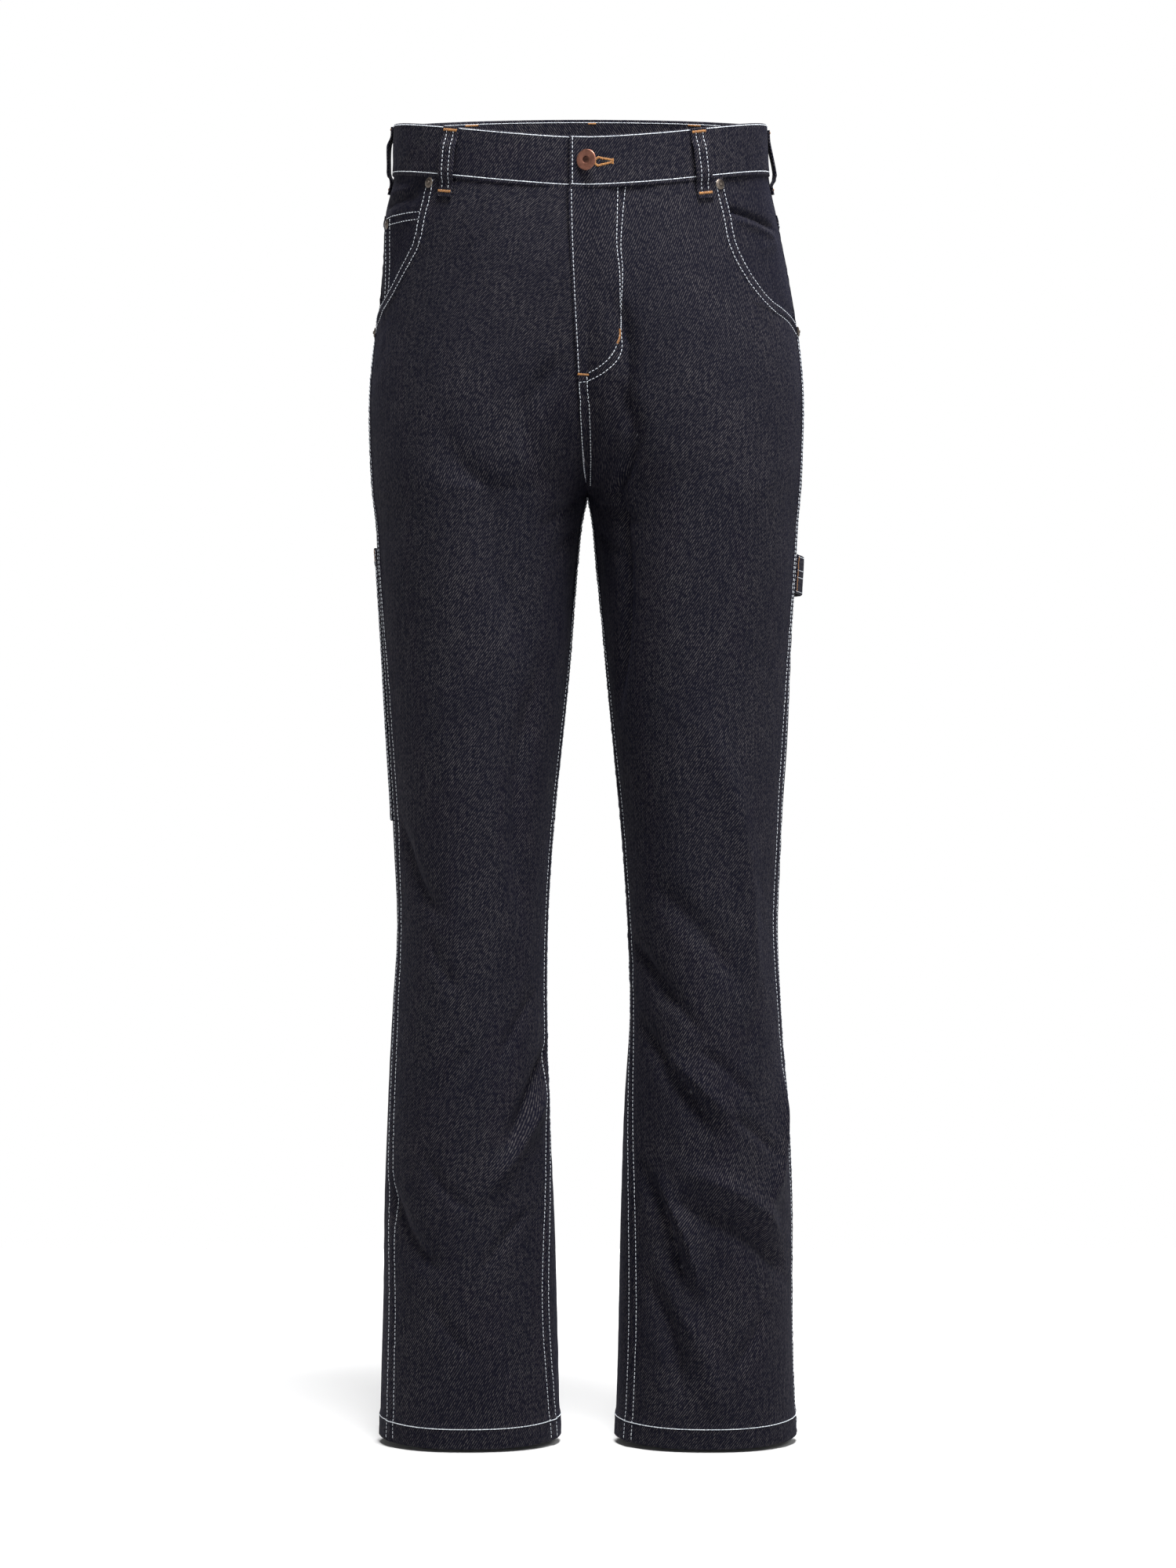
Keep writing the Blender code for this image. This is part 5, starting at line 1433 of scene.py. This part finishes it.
class Stitching:
    """Threads of one colour along one seam, gathered into one piece."""

    def __init__(self, name, thread="thread"):
        self.name = name
        self.thread = MATERIALS[thread]
        self.points = []
        self.faces = []
        self.count = 0

    def threads(self, middle, along, out, length, radius):
        """Short threads, bowed so that their ends dip into the cloth."""
        side = np.cross(out, along)
        side = side / np.linalg.norm(side, axis=-1, keepdims=True)
        out = np.cross(along, side)
        angles = 2 * math.pi * np.arange(THREAD_SIDES) / THREAD_SIDES
        length = np.broadcast_to(length, (len(middle),))
        centre = middle[:, None] + along[:, None] * (THREAD_ALONG * length[:, None])[..., None]
        centre = centre + out[:, None] * (THREAD_RISE * radius)[None, :, None]
        ring = np.cos(angles)[:, None, None] * out + np.sin(angles)[:, None, None] * side
        ring = np.moveaxis(ring, 0, 1)[:, None] * (THREAD_GIRTH * radius)[None, :, None, None]
        points = (centre[:, :, None] + ring).reshape(-1, 3)
        rings, sides = len(THREAD_ALONG), THREAD_SIDES
        index = np.arange(rings * sides).reshape(rings, sides)
        after = np.roll(index, -1, axis=1)
        quads = np.stack([index[:-1], after[:-1], after[1:], index[1:]], axis=-1).reshape(-1, 4)
        caps = [index[0][::-1], index[-1]]
        base = self.count + np.arange(len(middle)) * rings * sides
        self.points.append(points)
        self.faces += (base[:, None, None] + quads).reshape(-1, 4).tolist()
        for cap in caps:
            self.faces += (base[:, None] + cap).tolist()
        self.count += len(points)

    def row(self, path, pitch=STITCH_PITCH, length=STITCH_LENGTH, radius=STITCH_RADIUS):
        """Evenly spaced stitches along a path of points and outward directions."""
        points, out = path
        run = run_lengths(points)
        if run[-1] < pitch:
            return
        count = max(int(run[-1] / pitch), 1)
        place = run[-1] / count * (np.arange(count) + 0.5)
        uneven_place = place + 0.05 * pitch * np.sin(place / (1.9 * MM))
        read = [at_run(run, points, uneven_place + step) for step in (-0.5 * length, 0, 0.5 * length)]
        along = read[2] - read[0]
        size = np.linalg.norm(along, axis=1)
        along = along / np.maximum(size, TINY)[:, None]
        outward = at_run(run, out, uneven_place)
        middle = 0.25 * (read[0] + read[2]) + 0.5 * read[1]
        scale = np.minimum(size / length, 1.0) * (1 + 0.06 * np.sin(place / (2.7 * MM)))
        self.threads(middle, along, outward, length * scale, radius)

    def bartack(self, path, width, radius=BARTACK_RADIUS, pitch=BARTACK_PITCH):
        """Close threads laid across a short path."""
        points, out = path
        run = run_lengths(points)
        place = np.arange(0, run[-1], pitch)
        near = at_run(run, points, place)
        along = at_run(run, points, place + pitch) - at_run(run, points, place - pitch)
        outward = at_run(run, out, place)
        across = np.cross(outward, along) + 0.12 * along
        across = across / np.linalg.norm(across, axis=1, keepdims=True)
        ragged = width * (1 + 0.12 * np.sin(place / (0.37 * MM)))
        self.threads(near + outward * 0.1 * MM, across, outward, ragged, radius)

    def finish(self):
        points = np.concatenate(self.points)
        uv = np.zeros((len(points), 2))
        piece = add_mesh(self.name, points, self.faces, uv, np.zeros(len(self.faces)), (self.thread,), 80)
        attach(piece, "root")


def at_run(run, values, wanted):
    return np.stack([np.interp(wanted, run, values[:, axis]) for axis in range(3)], axis=1)


def cloth_path(face, leg, share, level, offset=0.0):
    """A path on the cloth with its outward directions."""
    share, level = (np.asarray(v, float) for v in np.broadcast_arrays(share, level))
    _, out = smooth_surface(leg, share, level)
    return cloth_points(face, leg, share, level, offset), out


def front_place(x, z):
    """Shares and levels on the left front of places seen from straight in front."""
    x, z = np.asarray(x, float), np.asarray(z, float)
    level, share = z.copy(), x / 0.5
    for _ in range(30):
        points, _ = smooth_surface("left", share, np.clip(level, CROTCH + 0.1 * MM, BAND_TOP))
        share = share + (x - points[:, 0]) / girth("left", level)
        level = np.clip(level + z - points[:, 2], CROTCH + 0.1 * MM, BAND_TOP)
    return share, level


def fly_path(places, step=1.0 * MM):
    """A smooth path on the left front through places in mm across and up."""
    places = np.array(places, float) * MM
    run = run_lengths(places)
    along = np.linspace(0, run[-1], max(int(run[-1] / step), 8))
    x, z = (curve_through(run, places[:, k])(along) for k in (0, 1))
    share, level = front_place(x, z)
    return cloth_path("front", "left", share, level)


def leg_seams(leg):
    """The double rows down the outer and inner seams, on the front's side of them."""
    side = Stitching(f"stitching_outseam_{leg}")
    inner = Stitching(f"stitching_inseam_{leg}")
    for distance in SEAM_ROWS:
        level = np.arange(POCKET_END - 4 * MM - 0.5 * distance, HEM + 1 * MM, -2 * MM)
        share = seam_share(leg, level) - (distance * felled_wider(level) + SEAM_GAP / 2) / girth(leg, level)
        side.row(cloth_path("front", leg, share, level))
        level = np.arange(CROTCH - 0.5 * MM, HEM + 1 * MM, -2 * MM)
        share = (distance * felled_wider(level) + SEAM_GAP / 2) / girth(leg, level)
        inner.row(cloth_path("front", leg, share, level))
    side.finish()
    inner.finish()


def scoop_rows(leg):
    """Two rows along the pocket mouth, each a fixed distance in from the front's edge."""
    stitching = Stitching(f"stitching_pocket_mouth_{leg}")
    level = np.linspace(YOKE_TOP, POCKET_END + 0.5 * MM, 140)
    edge, _ = front_edges(leg, level, level)
    around = edge * girth(leg, level)
    seam = seam_share(leg, level) * girth(leg, level)
    slope_u, slope_v = np.gradient(around), np.gradient(level)
    size = np.hypot(slope_u, slope_v)
    for distance in SCOOP_ROWS:
        u = around + distance * slope_v / size
        v = level - distance * slope_u / size
        kept = (v < YOKE_TOP - 0.5 * MM) & (seam - u > 1.2 * MM)
        u, v = u[kept], v[kept]
        stitching.row(cloth_path("front", leg, u / girth(leg, v), v))
    stitching.finish()


def middle_row(places):
    """A row below the fly, on whichever cloth lies foremost between the legs."""
    x, level = (np.array(column) * MM for column in zip(*places))
    level_at = np.arange(level[0], level[-1], -1.5 * MM)
    x_at = np.interp(-level_at, -level, x)
    share = np.linspace(-0.02, 0.12, 560)
    chosen = []
    for x_here, level_here in zip(x_at, level_at):
        points = cloth_points("front", "left", share, level_here)
        near = np.abs(points[:, 0] - x_here) < 0.5 * MM
        foremost = np.where(near, points[:, 1], np.inf).argmin()
        chosen.append(share[foremost])
    return cloth_path("front", "left", np.array(chosen), level_at, 0.1 * MM)


def fly_stitching():
    white = Stitching("stitching_fly")
    for places in FLY_ROWS:
        white.row(fly_path(places))
    for places in MIDDLE_ROWS:
        white.row(middle_row(places))
    white.finish()
    orange = Stitching("bartacks_fly", "orange_thread")
    for places in FLY_BARTACKS:
        orange.bartack(fly_path(places, 0.5 * MM), FLY_TACK_WIDTH)
    orange.finish()


def back_stitching(leg):
    """The rows below the yoke and, on the left, beside the middle seam."""
    white = Stitching(f"stitching_back_{leg}")
    across = np.linspace(0, 1, 160)
    for distance in SEAM_ROWS:
        level = yoke_level(across) - SEAM_GAP - distance
        side, inner = back_edges(leg, level, level)
        share = side + (inner - side) * across
        white.row(cloth_path("back", leg, share, level))
        if leg == "left":
            level = np.linspace(yoke_level(1.0) - SEAM_GAP, CROTCH + 1 * MM, 200)
            share = 1 - distance / girth(leg, level)
            white.row(cloth_path("back", leg, share, level))
            level = np.linspace(YOKE_TOP, yoke_level(1.0), 40)
            share = 1 - distance / girth(leg, level)
            white.row(cloth_path("yoke", leg, share, level, SEAM_RAISE))
    white.finish()


def patch_rows(name, leg, at, width, height, foot_point):
    """Rows round a patch pocket's sides and foot, two along its top hem, and bartacks at its corners."""
    white = Stitching(f"stitching_{name}")

    def path(u, v):
        return cloth_path("back", leg, *at(u, v))

    for inset in PATCH_ROWS:
        u, v = inset / width, inset / height
        down = np.linspace(0.004, 1 - v - foot_point / height * 0.5 * u, 90)
        white.row(path(u, down))
        white.row(path(1 - u, down))
        white.row(path(np.linspace(u, 1 - u, 90), 1 - v))
    for drop in PATCH_HEM_ROWS:
        white.row(path(np.linspace(0.01, 0.99, 90), drop / height))
    white.finish()
    orange = Stitching(f"bartacks_{name}", "orange_thread")
    for u in (PATCH_TACK_INSET / width, 1 - PATCH_TACK_INSET / width):
        orange.bartack(path(u, np.linspace(1.5 * MM, 11 * MM, 12) / height), PATCH_TACK_WIDTH)
    orange.finish()


def coin_pocket_rows():
    white = Stitching("stitching_coin_pocket")

    def sew(across, level):
        across, level = np.broadcast_arrays(across, level)
        shown = across < mouth_width("right", level) - 0.5 * MM
        across, level = across[shown], level[shown]
        _, out = smooth_surface("right", facing_share("right", across, level), level)
        white.row((facing_points("right", across, level, coin_lift(across, level) + CLOTH), out))

    for drop in COIN_POCKET_ROWS:
        across = np.linspace(COIN_POCKET_FROM_SEAM + 1.2 * MM, 78 * MM, 80)
        sew(across, coin_top(across) - drop)
    for inset in COIN_POCKET_SIDE_ROWS:
        level = np.linspace(COIN_POCKET_TOP - 1 * MM, COIN_POCKET_TOP - COIN_POCKET_HEIGHT + 2 * MM, 80)
        sew(COIN_POCKET_FROM_SEAM + inset, level)
    white.finish()


def hem_rows(leg):
    """One thick chain-stitched row round each hem."""
    white = Stitching(f"stitching_hem_{leg}")
    level = HEM + HEM_ROW_UP
    seam = float(seam_share(leg, level))
    for face, first, last in (("front", 0.001, seam), ("back", seam, 0.999)):
        white.row(cloth_path(face, leg, np.linspace(first, last, 160), level), *CHAIN)
    white.finish()


def band_path(leg, distance, level, face=1.0):
    distance, level = (np.asarray(v, float) for v in np.broadcast_arrays(distance, level))
    _, out = smooth_surface(leg, distance / girth(leg, 0.0), level)
    return band_points(leg, distance, level, face), out * face


def whole_band(level, face=1.0):
    """A path all round the band, from its right end to its left end."""
    parts = []
    for leg, end in BAND_END.items():
        length = float(girth(leg, 0.0))
        distance = np.linspace(-end + BAND_ROW_INSET, length, 400)
        path = band_path(leg, distance, level, face)
        parts.append(path if leg == "right" else (path[0][::-1], path[1][::-1]))
    return tuple(np.concatenate([part[k] for part in parts]) for k in (0, 1))


def band_stitching():
    white = Stitching("stitching_waistband")
    for level in (BAND_TOP - BAND_ROW_TOP, BAND_BOTTOM + BAND_ROW_FOOT):
        white.row(whole_band(level), *CHAIN)
    white.row(whole_band(BAND_TOP - 2.7 * MM, -1.0), *CHAIN_INSIDE)
    white.row(whole_band(BAND_BOTTOM + BAND_ROW_FOOT, -1.0))
    level = np.linspace(BAND_TOP - BAND_ROW_TOP, BAND_BOTTOM + BAND_ROW_FOOT, 60)
    for leg, face in (("left", 1.0), ("right", -1.0)):
        white.row(band_path(leg, BAND_ROW_END - BAND_END[leg], level, face))
    white.finish()


def loop_path(loop, down, sideways, extra):
    down, sideways = (np.asarray(v, float) for v in np.broadcast_arrays(down, sideways))
    level = BAND_TOP - (BAND_HEIGHT + LOOP_BELOW_BAND) * down
    share = 1.0 if loop.face == "middle" else loop_share(loop.leg, loop.face, loop.across * MM)
    _, out = smooth_surface(loop.leg, np.clip(np.full(down.shape, share), 0, 1), level)
    return loop_points(loop, down, sideways, extra), out


def loop_stitching():
    """Two rows down each belt loop, and bartacks that hold its ends."""
    white = Stitching("stitching_belt_loops")
    orange = Stitching("bartacks_belt_loops", "orange_thread")
    across = np.linspace(-0.42, 0.42, 20) * LOOP_WIDTH
    for loop in BELT_LOOPS:
        for sideways in (-LOOP_ROW_APART / 2, LOOP_ROW_APART / 2):
            white.row(loop_path(loop, np.linspace(0.03, 0.95, 60), sideways, LOOP_WALL - 0.25 * MM))
        for down in LOOP_TACKS:
            orange.bartack(loop_path(loop, down, across, LOOP_WALL), LOOP_TACK_WIDTH)
        if loop.face == "side":
            continue
        share = 0.999 if loop.face == "middle" else loop_share(loop.leg, loop.face, loop.across * MM)
        around = float(girth(loop.leg, 0.0))
        distance = np.clip(share * around + across, 0, around)
        orange.bartack(band_path(loop.leg, distance, BAND_TOP - 3.6 * MM, -1.0), PATCH_TACK_WIDTH)
    white.finish()
    orange.finish()


def hammer_stitching(panel):
    white = Stitching("stitching_hammer_loop")
    run = np.linspace(2 * MM, HAMMER_LOOP_RUN - 2 * MM, 80)
    for across in HAMMER_LOOP_ROWS:
        share, level, lift = hammer_place(panel, run, across)
        white.row(cloth_path("back", "left", share, level, lift + LOOP_WALL - 0.1 * MM))
    white.finish()
    orange = Stitching("bartacks_hammer_loop", "orange_thread")
    across = np.linspace(0.05, 0.95, 24)
    for run_to in HAMMER_LOOP_TACKS:
        share, level, lift = hammer_place(panel, run_to, across)
        orange.bartack(cloth_path("back", "left", share, level, lift + LOOP_WALL), LOOP_TACK_WIDTH)
    orange.finish()


def buttonhole():
    """A keyhole of close orange threads in the band's left end, with its eye under the button."""
    angle = np.linspace(0.62, 2 * math.pi - 0.62, 40)
    eye_x, eye_z = EYE_X + EYE_RADIUS * np.cos(angle), EYE_RADIUS * np.sin(angle)
    slit = np.linspace(eye_x[0], BUTTONHOLE_END, 20)
    narrow = eye_z[0] * (1 - (slit - slit[0]) / (slit[-1] - slit[0])) ** 0.7 + 0.55 * MM
    x = np.concatenate([slit[::-1], eye_x, slit])
    z = np.concatenate([narrow[::-1], eye_z, -narrow])
    path = band_path("left", x, z)
    orange = Stitching("buttonhole", "orange_thread")
    orange.bartack(path, 2.1 * MM, 0.28 * MM, 0.46 * MM)
    end = band_path("left", BUTTONHOLE_END + 0.6 * MM, np.linspace(-2.2, 2.2, 10) * MM)
    orange.bartack(end, 1.7 * MM)
    orange.finish()
    # A near-black thread laid along the slit: painted shadow where the hole opens.
    dark = Stitching("buttonhole_slit_shadow", "slit")
    middle = band_path("left", np.linspace(EYE_X, BUTTONHOLE_END, 12), 0.0)
    dark.row(middle, 9 * MM, 9.5 * MM, 0.5 * MM)
    dark.finish()


def turned(name, node, profile, centre, axis, material, segments):
    """A round piece from a profile of radii and heights, which starts and ends on its axis."""
    axis = axis / np.linalg.norm(axis)
    side = np.cross(axis, (0.0, 0.0, 1.0))
    side = side / np.linalg.norm(side)
    up = np.cross(side, axis)
    radius, height = (np.array(profile, float)[:, k] for k in (0, 1))
    angle = 2 * math.pi * np.arange(segments) / segments
    ring = side * np.cos(angle)[:, None] + up * np.sin(angle)[:, None]
    body = centre + axis * height[1:-1, None, None] + radius[1:-1, None, None] * ring
    count = len(profile) - 2
    points = np.concatenate([[centre + axis * height[0]], body.reshape(-1, 3), [centre + axis * height[-1]]])
    index = 1 + np.arange(count * segments).reshape(count, segments)
    after = np.roll(index, -1, axis=1)
    faces = np.stack([index[:-1], after[:-1], after[1:], index[1:]], axis=-1).reshape(-1, 4).tolist()
    faces += [[0, int(b), int(a)] for a, b in zip(index[0], after[0])]
    faces += [[len(points) - 1, int(a), int(b)] for a, b in zip(index[-1], after[-1])]
    uv = np.stack([points @ side, points @ up], axis=-1)
    piece = add_mesh(name, points, faces, uv, np.zeros(len(faces)), (material,), 38)
    dress(piece, node)


def button():
    share = np.array([BUTTON_ACROSS]) / girth("left", 0.0)
    level = np.array([BUTTON_LEVEL])
    outside = BAND_END_STEP + BAND_WALL / 2 + SEAM_GAP
    place = cloth_points("plain", "left", share, level, outside)[0]
    out = smooth_surface("left", share, level)[1][0]
    cos, sin = math.cos(BUTTON_TURN), math.sin(BUTTON_TURN)
    axis = np.array([out[0] * cos + out[1] * sin, out[1] * cos - out[0] * sin, out[2]])
    turned("button_copper", "button", BUTTON_PROFILE, place, axis, MATERIALS["copper"], BUTTON_SEGMENTS)


def rivet(node, points, out):
    turned(node + "_metal", node, RIVET_PROFILE, points, out, MATERIALS["dark_metal"], RIVET_SEGMENTS)


def rivets(leg, panel):
    for node, row in (
        ("rivet_top_" + leg, panel.row_at(1 / 12, RIVET_TOP_DOWN)),
        ("rivet_side_" + leg, len(POCKET_ROW_LEVELS) + 0.1),
    ):
        share, level = panel.place(np.array([row]), panel.across_at(row, RIVET_INSET))
        points = cloth_points("front", leg, share, level, RIVET_GAP)
        rivet(node, points[0], smooth_surface(leg, share, level)[1][0])
    if leg == "right":
        across = np.array([COIN_POCKET_FROM_SEAM + RIVET_INSET])
        level = np.array([COIN_POCKET_TOP - 6 * MM])
        points = facing_points(leg, across, level, coin_lift(across, level) + CLOTH + RIVET_GAP)
        out = smooth_surface(leg, facing_share(leg, across, level), level)[1]
        rivet("rivet_coin_pocket", points[0], out[0])


def stage():
    """A pale floor below the hems, a white surround and soft lights."""
    turns = ((-1, -1), (1, -1), (1, 1), (-1, 1))
    corners = [(x * FLOOR_REACH, y * FLOOR_REACH, FLOOR_LEVEL) for x, y in turns]
    mesh = bpy.data.meshes.new("floor")
    mesh.from_pydata(corners, [], [(0, 1, 2, 3)])
    shader = Shader("pale_floor")
    place = shader.node("ShaderNodeTexCoord").outputs["Object"]
    shade = shader.noise(place, 3.0, 2.0)
    shader.set(Base_Color=shader.mix(shade, (0.53, 0.53, 0.535, 1.0), (0.57, 0.57, 0.57, 1.0)), Roughness=0.9)
    mesh.materials.append(shader.made)
    floor = bpy.data.objects.new("floor", mesh)
    bpy.context.scene.collection.objects.link(floor)
    world = bpy.data.worlds.new("white_surround")
    bpy.context.scene.world = world
    world.use_nodes = True
    tree = world.node_tree
    direction = tree.nodes.new("ShaderNodeTexCoord")
    split = tree.nodes.new("ShaderNodeSeparateXYZ")
    fade = tree.nodes.new("ShaderNodeMapRange")
    for place, value in enumerate(WORLD_FADE, start=1):
        fade.inputs[place].default_value = value
    tree.links.new(direction.outputs["Generated"], split.inputs[0])
    tree.links.new(split.outputs[2], fade.inputs[0])
    tree.links.new(fade.outputs[0], tree.nodes["Background"].inputs["Strength"])
    tree.nodes["Background"].inputs["Color"].default_value = (1.0, 1.0, 1.0, 1.0)
    for name, place, aim, width, power in LIGHTS:
        lamp = bpy.data.lights.new(name, "AREA")
        lamp.shape = "SQUARE"
        lamp.size = width
        lamp.energy = power
        made = bpy.data.objects.new(name, lamp)
        made.location = place
        made.rotation_euler = (Vector(aim) - Vector(place)).to_track_quat("-Z", "Y").to_euler()
        bpy.context.scene.collection.objects.link(made)


def camera():
    lens = bpy.data.cameras.new("camera")
    lens.lens = CAMERA_LENS
    lens.sensor_width = SENSOR
    made = bpy.data.objects.new("camera", lens)
    made.location = (0.0, -CAMERA_DISTANCE, CAMERA_LEVEL)
    made.rotation_euler = (math.radians(90), 0.0, 0.0)
    bpy.context.scene.collection.objects.link(made)
    bpy.context.scene.camera = made


def build():
    camera()
    stage()
    waistband()
    for leg in LEGS:
        front = panel_piece("front", leg)
        back = panel_piece("back", leg)
        yoke_piece(leg)
        pocket_facing(leg)
        back_at = back_pocket(back)
        leg_seams(leg)
        scoop_rows(leg)
        back_stitching(leg)
        hem_rows(leg)
        patch_rows(
            "back_pocket_" + leg,
            leg,
            back_at,
            BACK_POCKET_WIDTH,
            BACK_POCKET_HEIGHT + BACK_POCKET_POINT,
            BACK_POCKET_POINT,
        )
        rivets(leg, front)
        if leg == "right":
            coin_pocket()
            coin_pocket_rows()
            tool_at = tool_pocket(back)
            patch_rows("tool_pocket", leg, tool_at, TOOL_POCKET_WIDTH, TOOL_POCKET_HEIGHT, 0.0)
        else:
            hammer_loop(back)
            hammer_stitching(back)
    for loop in BELT_LOOPS:
        belt_loop(loop)
    band_stitching()
    loop_stitching()
    fly_stitching()
    buttonhole()
    button()
    bpy.context.scene.view_settings.view_transform = "Standard"


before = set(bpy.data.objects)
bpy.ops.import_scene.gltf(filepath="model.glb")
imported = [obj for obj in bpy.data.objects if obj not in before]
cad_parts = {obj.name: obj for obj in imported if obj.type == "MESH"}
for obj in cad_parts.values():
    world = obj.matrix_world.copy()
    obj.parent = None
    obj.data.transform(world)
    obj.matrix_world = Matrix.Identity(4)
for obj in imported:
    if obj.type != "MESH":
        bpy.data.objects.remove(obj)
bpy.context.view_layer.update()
build()
bpy.context.view_layer.update()
